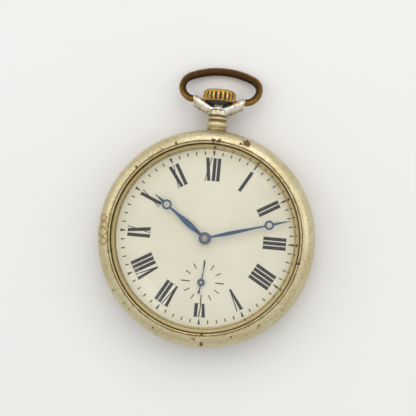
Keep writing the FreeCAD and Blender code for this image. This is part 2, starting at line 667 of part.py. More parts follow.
def tapered_arm(first, first_radius, second, second_radius, thickness):
    """A flat bar between two round ends."""
    line = math.degrees(math.atan2(second[1] - first[1], second[0] - first[0]))
    sides = [polar(first_radius, line + 90, first), polar(second_radius, line + 90, second),
             polar(second_radius, line - 90, second), polar(first_radius, line - 90, first)]
    bar = flat(sides).extrude(Vector(0, 0, thickness))
    return merged(bar, disc(first_radius, thickness, 0, *first),
                  disc(second_radius, thickness, 0, *second))


def cocks():
    arm = tapered_arm(COCK_FOOT, 2.1, BALANCE, 1.6, 1.1)
    arm = arm.cut(disc(0.45, 3, -1, *COCK_FOOT)).cut(disc(SIZES["jewel_radius"], 3, -1, *BALANCE))
    node("balance_cock", shaped(arm, (0, 0, 2.1)))
    foot = polar(2.3, LEVER_ANGLE - 90, PALLET)
    strap = tapered_arm(PALLET, 0.8, foot, 0.85, 0.45)
    strap = merged(strap, disc(0.6, 0.75, 0.45, *foot)).cut(disc(SIZES["jewel_radius"], 2, -1, *PALLET))
    node("pallet_cock", shaped(strap, (0, 0, 4.5)))


def fasteners():
    height = SIZES["screw_head_height"]
    head = SIZES["screw_head"]
    shank = SIZES["screw_shank"] - 0.01
    slot = SIZES["screw_slot"]
    screws = []
    for x, y in BARREL_SCREWS + TRAIN_SCREWS:
        screws.append(screw_shape(head, height, shank, 3.0, slot))
        screws[-1].translate(Vector(x, y, SIZES["bridge_bottom"]))
    screws.append(screw_shape(head, height, shank - 0.02, 2.9, slot))
    screws[-1].translate(Vector(*COCK_FOOT, 2.1))
    node("bridge_screws", shaped(Part.makeCompound(screws)))
    clamps = []
    for x, y in CASE_SCREWS:
        clamps.append(screw_shape(1.15, 0.4, 0.48, 1.3, 0.25))
        clamps[-1].translate(Vector(x, y, SIZES["case_screw_level"]))
    node("case_screws", shaped(Part.makeCompound(clamps)))
    holes = [(THIRD, "floor_bottom"), (FOURTH, "floor_bottom"), (ESCAPE, "floor_bottom"),
             (PALLET, "floor_bottom"), (BALANCE, "floor_bottom"), (THIRD, "2.5"), (FOURTH, "2.5"),
             (ESCAPE, "2.5"), (BALANCE, "2.8"), (PALLET, "4.55")]
    stones = []
    for place, level in holes:
        bore = 0.26 if place == FOURTH and level == "floor_bottom" else SIZES["jewel_bore"]
        stone = disc(SIZES["jewel_radius"], SIZES["jewel_thickness"])
        stones.append(stone.cut(disc(bore, 2, -1)))
        stones[-1].translate(Vector(*place, measure(level)))
    node("jewels", shaped(Part.makeCompound(stones)))


# Barrel and winding work --------------------------------------------------------------------

def barrel():
    teeth = toothed(SIZES["barrel_teeth"], SIZES["barrel_module"], 0.35, 4.2)
    shell = merged(teeth, disc(7.7, 1.6, 3.0)).cut(disc(7.25, 1.3, 3.0)).cut(disc(0.87, 3, 2.5))
    node("barrel_drum", shaped(shell, (*BARREL, 0)))
    cover = disc(7.25, 0.25, 3.0).cut(disc(0.87, 1, 2.5))
    node("barrel_cover", shaped(cover, (*BARREL, 0)))
    node("mainspring", shaped(spiral(2.0, 9, 0.52, 0.18, 0.85, 3.35), (*BARREL, 0)))
    core = merged(disc(0.8, 3.75, 2.45), disc(1.6, 0.9, 3.3),
                  Part.makeBox(1.1, 1.1, 0.5, Vector(-0.55, -0.55, 1.95)))
    node("barrel_arbor", shaped(core.cut(disc(0.36, 1.2, 1.9)), (*BARREL, 0)))


RATCHET_PHASE = 0.0


def winding_work():
    module = SIZES["winding_module"]
    ratchet = toothed(SIZES["ratchet_teeth"], module, 0.5, 0, RATCHET_PHASE)
    ratchet = ratchet.cut(Part.makeBox(1.12, 1.12, 2, Vector(-0.56, -0.56, -1)))
    node("ratchet_wheel", shaped(ratchet, (*BARREL, 1.95)))
    node("ratchet_screw", shaped(screw_shape(1.3, 0.4, 0.35, 1.1, 0.3), (*BARREL, 1.95)))
    phase = meshing(BARREL, SIZES["ratchet_teeth"], RATCHET_PHASE, CROWN_WHEEL,
                    SIZES["crown_wheel_teeth"])
    wheel = toothed(SIZES["crown_wheel_teeth"], module, 0.5, 0, phase).cut(disc(0.9, 2, -1))
    node("crown_wheel", shaped(wheel, (*CROWN_WHEEL, 1.95)))
    core = merged(disc(1.5, 0.32, -0.35), disc(0.82, 0.58, -0.03), disc(0.44, 0.95, 0))
    core = core.cut(Part.makeBox(3.4, 0.3, 0.15, Vector(-1.7, -0.15, -0.36)))
    node("crown_wheel_screw", shaped(core, (*CROWN_WHEEL, 1.95)))
    toward = math.degrees(math.atan2(BARREL[1] - CLICK[1], BARREL[0] - CLICK[0]))
    beak = flat([(0.5, -0.7), (1.55, -1.0), (1.7, -0.75), (0.5, 0.35)]).extrude(Vector(0, 0, 0.45))
    lever = merged(disc(0.85, 0.45), beak).cut(disc(0.5, 2, -1))
    node("click", shaped(lever, (*CLICK, 1.95), toward))
    pin = merged(disc(0.8, 0.3, -0.33), disc(0.42, 0.58, -0.03), disc(0.28, 0.9, 0))
    pin = pin.cut(Part.makeBox(2, 0.2, 0.15, Vector(-1, -0.1, -0.34)))
    node("click_screw", shaped(pin, (*CLICK, 1.95)))
    strip = disc(2.3, 0.4).cut(disc(2.12, 0.4)).common(Part.makeBox(5, 2.3, 0.4, Vector(-2.5, 0, 0)))
    anchor = disc(0.35, 0.4, 0, 2.21, 0.1)
    node("click_spring", shaped(merged(strip, anchor), (*CLICK, 2.1), toward + 75))


# Going train --------------------------------------------------------------------------------

def wheel_and_pinion(wheel, wheel_z, rim, pinion, pinion_z, pinion_height, staff):
    """A crossed-out wheel and its pinion on one staff."""
    count, module, phase = wheel
    blank = toothed(count, module, 0.2, wheel_z, phase)
    radius = count * module / 2
    blank = blank.cut(spokes(radius - rim, 1.3, 4, 0.45, 0.2, wheel_z))
    leaves, leaf_module, leaf_phase = pinion
    return merged(staff, blank, toothed(leaves, leaf_module, pinion_height, pinion_z, leaf_phase))


def going_train():
    size = SIZES
    phase = meshing(BARREL, size["barrel_teeth"], 0.0, CENTRE, size["centre_leaves"])
    staff = disc(0.35, 7.2, 2.0)
    node("centre_wheel", shaped(wheel_and_pinion(
        (size["centre_teeth"], size["centre_module"], 0.0), 4.72, 0.9,
        (size["centre_leaves"], size["barrel_module"], phase), 3.95, 0.7, staff)))
    phase = meshing(CENTRE, size["centre_teeth"], 0.0, THIRD, size["third_leaves"])
    node("third_wheel", shaped(wheel_and_pinion(
        (size["third_teeth"], size["third_module"], 0.0), 5.15, 0.8,
        (size["third_leaves"], size["centre_module"], phase), 4.55, 0.5,
        arbor(2.95, 5.65, 0.25, 2.55, 6.05)), (*THIRD, 0)))
    phase = meshing(THIRD, size["third_teeth"], 0.0, FOURTH, size["fourth_leaves"])
    staff = merged(disc(0.25, 2.7, 2.95), disc(0.1, 0.4, 2.55), disc(0.19, 2.5, 5.65))
    node("fourth_wheel", shaped(wheel_and_pinion(
        (size["fourth_teeth"], size["fourth_module"], 0.0), 4.4, 0.7,
        (size["fourth_leaves"], size["third_module"], phase), 5.0, 0.5, staff), (*FOURTH, 0)))
    phase = meshing(FOURTH, size["fourth_teeth"], 0.0, ESCAPE, size["escape_leaves"])
    count = size["escape_teeth"]
    points = []
    for tooth in range(count):
        turn = 360 * tooth / count
        points += [polar(2.6, turn), polar(2.5, turn + 3.5), polar(2.0, turn + 6), polar(2.0, turn + 17)]
    rim = flat(points).extrude(Vector(0, 0, 0.2))
    rim = rim.cut(spokes(1.6, 0.55, 4, 0.25, 0.2))
    rim.translate(Vector(0, 0, 5.1))
    pinion = toothed(size["escape_leaves"], size["fourth_module"], 0.55, 4.2, phase)
    node("escape_wheel", shaped(merged(arbor(2.95, 5.65, 0.2, 2.55, 6.05), rim, pinion), (*ESCAPE, 0)))


def escapement():
    reach = math.dist(PALLET, BALANCE) - 1.05
    lever = Part.makeBox(reach, 0.3, 0.2, Vector(0, -0.15, 0))
    fork = Part.makeBox(0.5, 0.7, 0.2, Vector(reach - 0.5, -0.35, 0))
    slot = Part.makeBox(0.4, 0.28, 0.4, Vector(reach - 0.35, -0.14, -0.1))
    arms = []
    stones = []
    for side in (1, -1):
        tip = polar(2.95, side * 30, (-3.0, 0.0))
        turn = math.degrees(math.atan2(tip[1], tip[0]))
        bar = Part.makeBox(math.hypot(*tip) + 0.1, 0.3, 0.2, Vector(0, -0.15, 0))
        bar.rotate(Vector(), Vector(0, 0, 1), turn)
        arms.append(bar)
        stone = Part.makeBox(0.35, 0.3, 0.14, Vector(-0.15, -0.15, -0.14))
        stone.rotate(Vector(), Vector(0, 0, 1), side * 30)
        stone.translate(Vector(*tip, 0))
        stones.append(stone)
    staff = arbor(-0.1, 0.55, 0.16, -0.5, 0.95)
    body = merged(lever.fuse([fork]).cut(slot), staff, disc(0.4, 0.2), *arms)
    node("pallet_fork", shaped(body, (*PALLET, 5.1), LEVER_ANGLE))
    node("pallet_stones", shaped(Part.makeCompound(stones), (*PALLET, 5.1), LEVER_ANGLE))
    rim = disc(4.8, 0.5, 3.8).cut(spokes(4.2, 0.9, 2, 0.6, 0.5, 3.8)).cut(disc(0.3, 2, 3))
    node("balance_wheel", shaped(rim, (*BALANCE, 0), LEVER_ANGLE + 90))
    staff = arbor(3.25, 5.65, 0.3, 2.85, 6.05)
    pin = disc(0.12, 0.45, 4.85, -0.75, 0)
    roller = disc(1.0, 0.2, 4.65)
    node("balance_staff", shaped(merged(staff, roller, pin), (*BALANCE, 0), LEVER_ANGLE))
    collet = disc(0.62, 0.22, 3.4).cut(disc(0.3, 1, 3))
    coil = spiral(0.62, 9, 0.22, 0.06, 0.22, 3.4)
    stud_angle = math.degrees(math.atan2(COCK_FOOT[1] - BALANCE[1], COCK_FOOT[0] - BALANCE[0]))
    node("hairspring", shaped(merged(collet, coil), (*BALANCE, 0), stud_angle))
    stud = Part.makeBox(0.45, 0.4, 0.42, Vector(2.65, -0.2, 3.2))
    node("hairspring_stud", shaped(stud, (*BALANCE, 0), stud_angle))
    dial_ring = disc(1.35, 0.25).cut(disc(0.8, 1, -0.5))
    pointer = flat([(-0.3, 1.2), (0.3, 1.2), (0.1, 3.6), (-0.1, 3.6)]).extrude(Vector(0, 0, 0.25))
    node("regulator", shaped(merged(dial_ring, pointer), (*BALANCE, 1.82), 150))


# Motion work and keyless work ---------------------------------------------------------------

def motion_work():
    size = SIZES
    cannon_phase = 0.0
    leaves = toothed(size["cannon_leaves"], size["motion_module"], 0.4, 6.4, cannon_phase)
    cannon = merged(leaves, disc(0.68, 2.25, 6.7), disc(0.6, 0.45, 8.9)).cut(disc(0.42, 4, 6))
    node("cannon_pinion", shaped(cannon))
    minute_phase = meshing(CENTRE, size["cannon_leaves"], cannon_phase, MINUTE, size["minute_teeth"])
    wheel = toothed(size["minute_teeth"], size["motion_module"], 0.25, 6.37, minute_phase)
    leaves = toothed(size["minute_leaves"], size["hour_module"], 0.45, 6.6)
    node("minute_wheel", shaped(merged(wheel, leaves).cut(disc(0.52, 3, 6)), (*MINUTE, 0)))
    hour_phase = meshing(MINUTE, size["minute_leaves"], 0.0, CENTRE, size["hour_teeth"])
    wheel = toothed(size["hour_teeth"], size["hour_module"], 0.2, 6.85, hour_phase)
    hour = merged(wheel, disc(1.05, 1.9, 6.85)).cut(disc(0.75, 3, 6.5))
    node("hour_wheel", shaped(hour))
    setting_phase = meshing(MINUTE, size["minute_teeth"], minute_phase, SETTING,
                            size["setting_teeth"])
    wheel = toothed(size["setting_teeth"], size["motion_module"], 0.25, 6.37, setting_phase)
    node("setting_wheel", shaped(wheel.cut(disc(0.52, 3, 6)), (*SETTING, 0)))


def lengthwise(shape, y):
    """Lays a shape built about Z along the stem."""
    thing = doc.addObject("Part::Feature", "lengthwise")
    thing.Shape = shape
    thing.Placement = Placement(Vector(0, y, SIZES["stem_height"]), OUT)
    return thing


def lever_arm(pivot, pin, half_width, pin_low):
    """A flat lever turning on its stud, with a pin that hangs into a groove."""
    plate = tapered_arm(pivot, 0.75, pin, half_width, 0.25)
    drop = disc(0.15, 6.37 - pin_low + 0.1, pin_low - 6.37, *pin)
    return merged(plate, drop).cut(disc(0.47, 3, -1, *pivot))


def keyless_work():
    size = SIZES
    pinion = toothed(size["winding_pinion_teeth"], size["winding_pinion_module"], 1.45)
    node("winding_pinion", lengthwise(pinion.cut(disc(0.65, 3, -1)), 12.95))
    clutch = toothed(size["sliding_pinion_teeth"], size["sliding_pinion_module"], 1.95)
    groove = disc(3, 0.6, 0.65).cut(disc(1.2, 0.6, 0.65))
    side = size["stem_square"] + 0.1
    bore = Part.makeBox(side, side, 3, Vector(-side / 2, -side / 2, -0.5))
    node("sliding_pinion", lengthwise(clutch.cut(groove).cut(bore), 10.75))
    node("setting_lever", shaped(lever_arm(SETTING_LEVER, (0.0, 15.0), 0.3, 5.05), (0, 0, 6.37)))
    node("clutch_lever", shaped(lever_arm(CLUTCH_LEVER, (0.0, 11.7), 0.3, 5.95), (0, 0, 6.37)))
    plate = tapered_arm((-3.9, 13.0), 1.1, (3.9, 13.4), 1.1, 0.2)
    plate = merged(plate, tapered_arm((-2.6, 13.4), 0.9, SETTING_LEVER, 1.0, 0.2))
    feet = [disc(0.5, 0.48, -0.48, side * 4.1, 13.2) for side in (1, -1)]
    node("setting_bridge", shaped(merged(plate, *feet), (0, 0, 6.78)))
    spring = tapered_arm((6.2, 8.2), 0.55, (6.2, 8.9), 0.3, 0.25)
    spring = merged(spring, tapered_arm((6.2, 8.9), 0.2, (4.3, 10.25), 0.1, 0.25))
    node("clutch_spring", shaped(spring, (0, 0, 6.3)))


def build():
    case_middle()
    case_back()
    bezel()
    crystal()
    pendant()
    yoke()
    crown()
    bow()
    stem()
    dial()
    hands()
    main_plate()
    bridges()
    cocks()
    fasteners()
    barrel()
    winding_work()
    going_train()
    escapement()
    motion_work()
    keyless_work()
    doc.recompute()
    for thing in doc.Objects:
        if "Invalid" in thing.State or "Error" in thing.State:
            raise RuntimeError(f"{thing.Label} failed: {thing.State}")
    os.makedirs("parts", exist_ok=True)
    for thing in nodes:
        shape = thing.Shape
        if shape.isNull() or not shape.isValid() or not shape.Solids:
            raise RuntimeError(f"{thing.Label} has no sound solid")
    for thing in nodes:
        thing.Shape.exportStep(f"parts/{thing.Label}.step")
        print(thing.Label, len(thing.Shape.Solids), round(thing.Shape.Volume, 3))


build()
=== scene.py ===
import json
import math

import bmesh
import bpy
from mathutils import Matrix, Vector


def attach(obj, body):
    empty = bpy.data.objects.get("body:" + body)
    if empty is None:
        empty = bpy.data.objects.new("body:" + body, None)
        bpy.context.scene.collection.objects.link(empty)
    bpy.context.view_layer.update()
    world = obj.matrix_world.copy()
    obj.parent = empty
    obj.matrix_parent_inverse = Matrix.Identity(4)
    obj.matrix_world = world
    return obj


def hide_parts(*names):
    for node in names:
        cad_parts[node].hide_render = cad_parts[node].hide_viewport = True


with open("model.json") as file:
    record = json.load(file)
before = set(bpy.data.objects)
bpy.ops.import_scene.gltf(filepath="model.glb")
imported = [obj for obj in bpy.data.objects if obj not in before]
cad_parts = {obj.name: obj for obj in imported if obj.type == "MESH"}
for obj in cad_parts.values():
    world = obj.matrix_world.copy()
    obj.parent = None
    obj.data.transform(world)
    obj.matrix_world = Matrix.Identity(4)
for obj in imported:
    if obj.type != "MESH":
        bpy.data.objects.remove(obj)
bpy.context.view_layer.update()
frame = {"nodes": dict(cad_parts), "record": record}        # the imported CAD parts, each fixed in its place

# Every length below is in millimetres, and becomes metres when a piece is made.
MM = 0.001
ON_AXIS = 1e-6
TURNS = 288                      # facets round a large turned piece
SMALL_TURNS = 96                 # facets round a small one
CORNER = 0.07                    # how far wear has rounded a turned corner
SHARP_TURN = math.radians(14)    # a corner that turns less than this is already part of a curve
CREASE = math.radians(38)        # faces that meet at more than this keep a sharp edge

DIAL_TOP = 7.6
SECONDS_Y = -10.05
SUBDIAL_TOP = 7.54
SUBDIAL_RADIUS = 5.2
STEM_HEIGHT = 4.6
STEM_BORE = 0.75
HINGE_Y = 32.0
HINGE_BORE = 0.6
DOME_RADIUS = 20.4               # where the crystal's dome meets its wall
EAR_REACH = 5.75                 # from the middle to the flat end of each of the yoke's arms
HOUR_ANGLE = 306.4               # clockwise from twelve, in degrees
MINUTE_ANGLE = 73.5
SECONDS_ANGLE = 6.8


# Meshes -------------------------------------------------------------------------------------

def linked(name, data):
    """A new object in the scene."""
    made = bpy.data.objects.new(name, data)
    bpy.context.scene.collection.objects.link(made)
    return made


def mesh_data(name, mesh):
    """Turns a bmesh into mesh data, and frees it."""
    data = bpy.data.meshes.new(name)
    mesh.to_mesh(data)
    mesh.free()
    return data


def modified(target):
    """What a mesh object's modifiers make of it, as new mesh data."""
    bpy.context.view_layer.update()
    return bpy.data.meshes.new_from_object(target.evaluated_get(bpy.context.evaluated_depsgraph_get()))


def turn_to(direction):
    """The turn that takes +Z to a direction."""
    return Vector((0, 0, 1)).rotation_difference(Vector(direction)).to_matrix().to_4x4()


def piece(name, mesh, body, slot, look, *nodes):
    """Turns a bmesh in millimetres into a finished piece that rides on a body and stands for CAD nodes."""
    bmesh.ops.scale(mesh, vec=(MM, MM, MM), verts=mesh.verts)
    bmesh.ops.recalc_face_normals(mesh, faces=mesh.faces)
    data = mesh_data(name, mesh)
    data.shade_smooth()
    data.set_sharp_from_angle(angle=CREASE)
    data.materials.append(look)
    made = linked(name, data)
    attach(made, body)
    if nodes:
        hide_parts(*nodes)
    return made


def arc(start, end, radius, side, steps=12):
    """Points on a circle from start to end, both included.
    With side 1 it bulges to the left of the way there, with side -1 to the right."""
    start, end = Vector(start), Vector(end)
    chord = end - start
    normal = Vector((-chord.y, chord.x)).normalized() * side
    centre = (start + end) / 2 - normal * math.sqrt(radius ** 2 - chord.length_squared / 4)
    first, last = (math.atan2(*(p - centre).yx) for p in (start, end))
    sweep = (last - first + math.pi) % math.tau - math.pi
    turns = (first + sweep * k / steps for k in range(steps + 1))
    return [tuple(centre + radius * Vector((math.cos(turn), math.sin(turn)))) for turn in turns]


def worn(profile, reach, steps=4):
    """The same closed outline with each sharp corner away from the axis rounded."""
    outline = []
    for before, here, after in zip(profile[-1:] + profile[:-1], profile, profile[1:] + profile[:1]):
        corner = Vector(here)
        back, on = Vector(before) - corner, Vector(after) - corner
        if corner.x < ON_AXIS or math.pi - back.angle(on) < SHARP_TURN:
            outline.append(tuple(corner))
            continue
        start = corner + back.normalized() * min(reach, 0.45 * back.length)
        end = corner + on.normalized() * min(reach, 0.45 * on.length)
        for k in range(steps + 1):
            t = k / steps
            outline.append(tuple(start * (1 - t) ** 2 + corner * 2 * t * (1 - t) + end * t ** 2))
    return outline


def skin(mesh, rings):
    """Faces between each ring of vertices and the next, and from the last to the first.
    A ring of one vertex is a pole."""
    for low, high in zip(rings, rings[1:] + rings[:1]):
        for k in range(max(len(low), len(high))):
            corners = (low[k % len(low)], low[(k + 1) % len(low)],
                       high[(k + 1) % len(high)], high[k % len(high)])
            corners = list(dict.fromkeys(corners))
            if len(corners) > 2:
                mesh.faces.new(corners)


def turned(profile, turns=TURNS, corner=CORNER, shape=None):
    """A solid turned round Z from a closed outline of (radius, height).
    shape(radius, height, turn) may change a radius."""
    mesh, rings = bmesh.new(), []
    for radius, height in worn(profile, corner):
        ring = []
        for k in range(1 if radius < ON_AXIS else turns):
            turn = math.tau * k / turns
            out = shape(radius, height, turn) if shape else radius
            ring.append(mesh.verts.new((out * math.cos(turn), out * math.sin(turn), height)))
        rings.append(ring)
    skin(mesh, rings)
    return mesh


def laid_along_stem(mesh):
    """Turns a piece made round Z so that its axis is the stem's: its Z becomes +Y."""
    turn = Matrix.Translation((0, 0, STEM_HEIGHT)) @ Matrix.Rotation(math.radians(-90), 4, "X")
    mesh.transform(turn)
    return mesh


def hand_turn(mesh, degrees, y=0.0):
    """Turns a hand that was made pointing at twelve."""
    mesh.transform(Matrix.Translation((0, y, 0)) @ Matrix.Rotation(-math.radians(degrees), 4, "Z"))
    return mesh


def circle(radius, y=0.0, steps=64):
    return [(radius * math.cos(math.tau * k / steps), y + radius * math.sin(math.tau * k / steps))
            for k in range(steps)]


def flat_part(outlines, bottom, top, edge):
    """A flat part with rounded edges; an outline inside another is a hole."""
    curve = bpy.data.curves.new("outline", "CURVE")
    curve.dimensions = "2D"
    curve.fill_mode = "BOTH"
    curve.extrude = (top - bottom) / 2 - edge
    curve.bevel_depth = edge
    curve.bevel_resolution = 3
    curve.offset = -edge
    for outline in outlines:
        spline = curve.splines.new("POLY")
        spline.points.add(len(outline) - 1)
        for point, (x, y) in zip(spline.points, outline):
            point.co = (x, y, 0, 1)
        spline.use_cyclic_u = True
    holder = bpy.data.objects.new("outline", curve)
    data = bpy.data.meshes.new_from_object(holder)
    mesh = bmesh.new()
    mesh.from_mesh(data)
    bmesh.ops.remove_doubles(mesh, verts=mesh.verts, dist=edge / 20)
    bmesh.ops.translate(mesh, verts=mesh.verts, vec=(0, 0, (top + bottom) / 2))
    bpy.data.objects.remove(holder)
    bpy.data.curves.remove(curve)
    bpy.data.meshes.remove(data)
    return mesh


def printed(shapes, base, thickness=0.015):
    """Thin closed films of ink on a surface, one for each outline."""
    mesh = bmesh.new()
    for outline in shapes:
        low = [mesh.verts.new((x, y, base)) for x, y in outline]
        high = [mesh.verts.new((x, y, base + thickness)) for x, y in outline]
        mesh.faces.new(low)
        mesh.faces.new(high)
        for k in range(len(outline)):
            n = (k + 1) % len(outline)
            mesh.faces.new((low[k], low[n], high[n], high[k]))
    return mesh


# Materials ----------------------------------------------------------------------------------

def rgb(red, green, blue):
    return (red, green, blue, 1.0)


class Surface:
    """One procedural material. Its textures read the place on the object in millimetres."""

    def __init__(self, name, **constants):
        self.material = bpy.data.materials.new(name)
        self.material.use_nodes = True
        self.tree = self.material.node_tree
        self.shader = self.tree.nodes["Principled BSDF"]
        for socket, value in constants.items():
            self.shader.inputs[socket.replace("_", " ")].default_value = value
        self.place = self.vector("SCALE", self.node("ShaderNodeTexCoord").outputs["Object"], scale=1 / MM)

    def node(self, kind, inputs=None, **settings):
        made = self.tree.nodes.new(kind)
        for key, value in settings.items():
            setattr(made, key, value)
        for key, value in (inputs or {}).items():
            self.plug(made.inputs[key], value)
        return made

    def plug(self, socket, value):
        if isinstance(value, bpy.types.NodeSocket):
            self.tree.links.new(value, socket)
        else:
            socket.default_value = value

    def set(self, socket, value):
        self.plug(self.shader.inputs[socket], value)

    def math(self, operation, first, second=0.0, third=0.0):
        return self.node("ShaderNodeMath", {0: first, 1: second, 2: third}, operation=operation).outputs[0]

    def vector(self, operation, first, second=(0, 0, 0), scale=1.0):
        inputs = {0: first, "Scale": scale} if operation == "SCALE" else {0: first, 1: second}
        if operation in ("LENGTH", "NORMALIZE"):
            inputs = {0: first}
        made = self.node("ShaderNodeVectorMath", inputs, operation=operation)
        return made.outputs["Value" if operation in ("LENGTH", "DISTANCE", "DOT_PRODUCT") else "Vector"]

    def noise(self, scale, detail=2.0, at=None, roughness=0.5):
        inputs = {"Vector": at or self.place, "Scale": scale, "Detail": detail, "Roughness": roughness}
        return self.node("ShaderNodeTexNoise", inputs).outputs[0]

    def ramp(self, value, low, high, to_low=0.0, to_high=1.0):
        """A smooth step from one number to another."""
        inputs = {"Value": value, "From Min": low, "From Max": high, "To Min": to_low, "To Max": to_high}
        return self.node("ShaderNodeMapRange", inputs, interpolation_type="SMOOTHSTEP").outputs[0]

    def band(self, value, middle, outer, inner):
        """1 within inner of a middle value, falling to 0 at outer from it."""
        return self.ramp(self.math("ABSOLUTE", self.math("SUBTRACT", value, middle)), outer, inner)

    def mix(self, factor, first, second):
        return self.node("ShaderNodeMix", {0: factor, 6: first, 7: second}, data_type="RGBA").outputs[2]

    def both(self, first, second):
        return self.math("MULTIPLY", first, second)

    def either(self, first, second):
        return self.math("MAXIMUM", first, second)

    def polar(self, centre=(0, 0, 0)):
        """The distance from an axis along Z, and the direction from it."""
        offset = self.vector("MULTIPLY", self.vector("SUBTRACT", self.place, centre), (1, 1, 0))
        return self.vector("LENGTH", offset), self.vector("NORMALIZE", offset)

    def round_grain(self, fine, along, centre=(0, 0, 0)):
        """Noise drawn out in rings, as a lathe or a polishing wheel leaves it."""
        radius, direction = self.polar(centre)
        rise = self.node("ShaderNodeSeparateXYZ", {0: self.place}).outputs["Z"]
        across = self.math("ADD", self.both(radius, fine), self.both(rise, fine))
        drawn = self.vector("ADD", self.vector("SCALE", direction, scale=along),
                            self.node("ShaderNodeCombineXYZ", {"Z": across}).outputs[0])
        return self.noise(1.0, 3.0, drawn)

    def bump(self, height, depth, strength=1.0):
        bump = self.node("ShaderNodeBump", {"Height": height, "Distance": depth * MM, "Strength": strength})
        self.set("Normal", bump.outputs[0])


def polar(radius, clockwise):
    """A point at that distance from the middle, at an angle clockwise from twelve."""
    return radius * math.sin(math.radians(clockwise)), radius * math.cos(math.radians(clockwise))


# Corrosion on the bezel: distance from the middle, angle clockwise from twelve, size.
SPOTS = ((23.6, 18.7, 1.05), (23.1, 15.6, 0.5), (24.1, 176.8, 0.62), (23.4, 143.0, 0.34), (23.8, 221.8, 0.32),
         (24.1, 235.8, 0.36), (23.8, -26.7, 0.28), (23.0, 181.4, 0.24), (22.0, 99.9, 0.45), (22.4, 0.2, 0.75),
         (22.4, 3.4, 0.6), (21.95, 176.6, 0.55), (22.7, -22.0, 0.5), (22.6, -31.0, 0.45), (22.7, -49.0, 0.4),
         (24.2, 95.5, 0.2), (23.3, 160.0, 0.2), (23.9, 128.0, 0.22), (23.2, 63.0, 0.2), (23.6, 205.0, 0.2))
# A wandering stain at nine o'clock, as rings: distance from the middle, angle, radius.
RINGS = ((23.75, -83.6, 0.75), (23.45, -87.3, 0.6), (23.6, -91.5, 0.95), (23.3, -96.5, 0.8))
GROOVE_RADIUS = 22.245           # the groove between the bezel's rim and its lip
GRIME_RADIUS = 22.25             # brown grime lies on both sides of the groove


def nickel(name, shaded_grooves=()):
    """Worn nickel plate: creamy, finely brushed, with brown spots, and grime and painted shade in the bezel's
    groove and under the crystal. Painted shade also lies in grooves across Y; shaded_grooves lists where,
    each with its half width."""
    look = Surface(name)
    radius, _ = look.polar()
    drift = look.node("ShaderNodeTexNoise", {"Vector": look.place, "Scale": 1.6, "Detail": 3.0})
    drift = look.vector("SUBTRACT", drift.outputs["Color"], (0.5, 0.5, 0.5))
    drift = look.vector("SCALE", drift, scale=1.5)
    warped = look.vector("ADD", look.place, drift)
    patches = look.ramp(look.noise(0.16, 4.0), 0.36, 0.64)
    blotches = look.ramp(look.noise(0.9, 5.0, roughness=0.65), 0.42, 0.7)
    colour = look.mix(patches, rgb(0.57, 0.495, 0.275), rgb(0.65, 0.585, 0.385))
    colour = look.mix(look.both(blotches, 0.5), colour, rgb(0.47, 0.37, 0.16))
    grain = look.round_grain(14.0, 5.0)
    colour = look.mix(look.ramp(grain, 0.35, 0.75, 0.0, 0.35), colour, rgb(0.73, 0.67, 0.48))
    mottle = look.noise(2.2, 6.0, roughness=0.75)
    colour = look.mix(look.ramp(mottle, 0.50, 0.66, 0.0, 0.55), colour, rgb(0.40, 0.33, 0.17))
    colour = look.mix(look.ramp(mottle, 0.48, 0.34, 0.0, 0.5), colour, rgb(0.80, 0.75, 0.60))
    # Darker in the bezel's groove and under the crystal: partly grime, partly painted shade in these
    # recesses.
    groove = look.band(radius, GROOVE_RADIUS, 0.17, 0.05)
    under_crystal = look.both(look.ramp(radius, 21.90, 21.78), look.ramp(radius, 21.26, 21.40))
    dirt_and_shade = look.either(groove, under_crystal)
    northing = look.node("ShaderNodeSeparateXYZ", {0: look.place}).outputs["Y"]
    # Painted shade in grooves across Y, such as the neck's.
    for place, half in shaded_grooves:
        dirt_and_shade = look.either(dirt_and_shade, look.band(northing, place, half, half * 0.3))
    dirt_and_shade = look.both(dirt_and_shade, look.ramp(look.noise(0.8, 3.0), 0.25, 0.5, 0.55, 1.0))
    grime = look.both(look.band(radius, GRIME_RADIUS, 0.50, 0.10),
                      look.ramp(look.noise(0.75, 4.0, roughness=0.7), 0.44, 0.62, 0.0, 0.75))
    colour = look.mix(grime, colour, rgb(0.27, 0.155, 0.040))
    stain = 0.0
    flat_place = look.vector("MULTIPLY", warped, (1, 1, 0))
    for distance, angle, size in SPOTS:
        away = look.vector("DISTANCE", flat_place, (*polar(distance, angle), 0))
        stain = look.either(stain, look.ramp(away, size, size * 0.55))
    scattered = look.node("ShaderNodeTexVoronoi", {"Vector": warped, "Scale": 0.42, "Randomness": 1.0})
    chance = look.node("ShaderNodeSeparateColor", {0: scattered.outputs["Color"]}).outputs[0]
    rare = look.ramp(chance, 0.70, 0.74)
    dots = look.both(rare, look.ramp(scattered.outputs["Distance"], 0.10, 0.045))
    halo = 0.0
    for distance, angle, size in RINGS:
        away = look.vector("DISTANCE", flat_place, (*polar(distance, angle), 0))
        halo = look.either(halo, look.band(away, size, 0.24, 0.10))
    colour = look.mix(look.both(halo, 0.75), colour, rgb(0.27, 0.15, 0.045))
    soil_and_shade_tone = look.ramp(look.noise(0.12, 1.0), 0.45, 0.55)
    soil_and_shade = look.mix(soil_and_shade_tone, rgb(0.22, 0.13, 0.035), rgb(0.16, 0.145, 0.045))
    # Brown tone over the grooves and under the crystal: grime and painted shade.
    colour = look.mix(dirt_and_shade, colour, soil_and_shade)
    rust = look.mix(look.noise(2.4, 3.0), rgb(0.040, 0.017, 0.008), rgb(0.22, 0.095, 0.034))
    colour = look.mix(look.either(stain, look.both(dots, 0.9)), colour, rust)
    look.set("Base Color", colour)
    dull = look.either(look.either(stain, dots), look.both(dirt_and_shade, 0.7))
    look.set("Metallic", look.ramp(dull, 0.0, 1.0, 1.0, 0.15))
    rough = look.ramp(look.noise(0.5, 4.0), 0.3, 0.7, 0.33, 0.48)
    look.set("Roughness", look.math("ADD", rough, look.both(dull, 0.25)))
    pits = look.both(look.noise(3.2, 4.0, roughness=0.7), 0.5)
    look.bump(look.math("ADD", look.both(grain, 0.5), pits), 0.035)
    return look.material


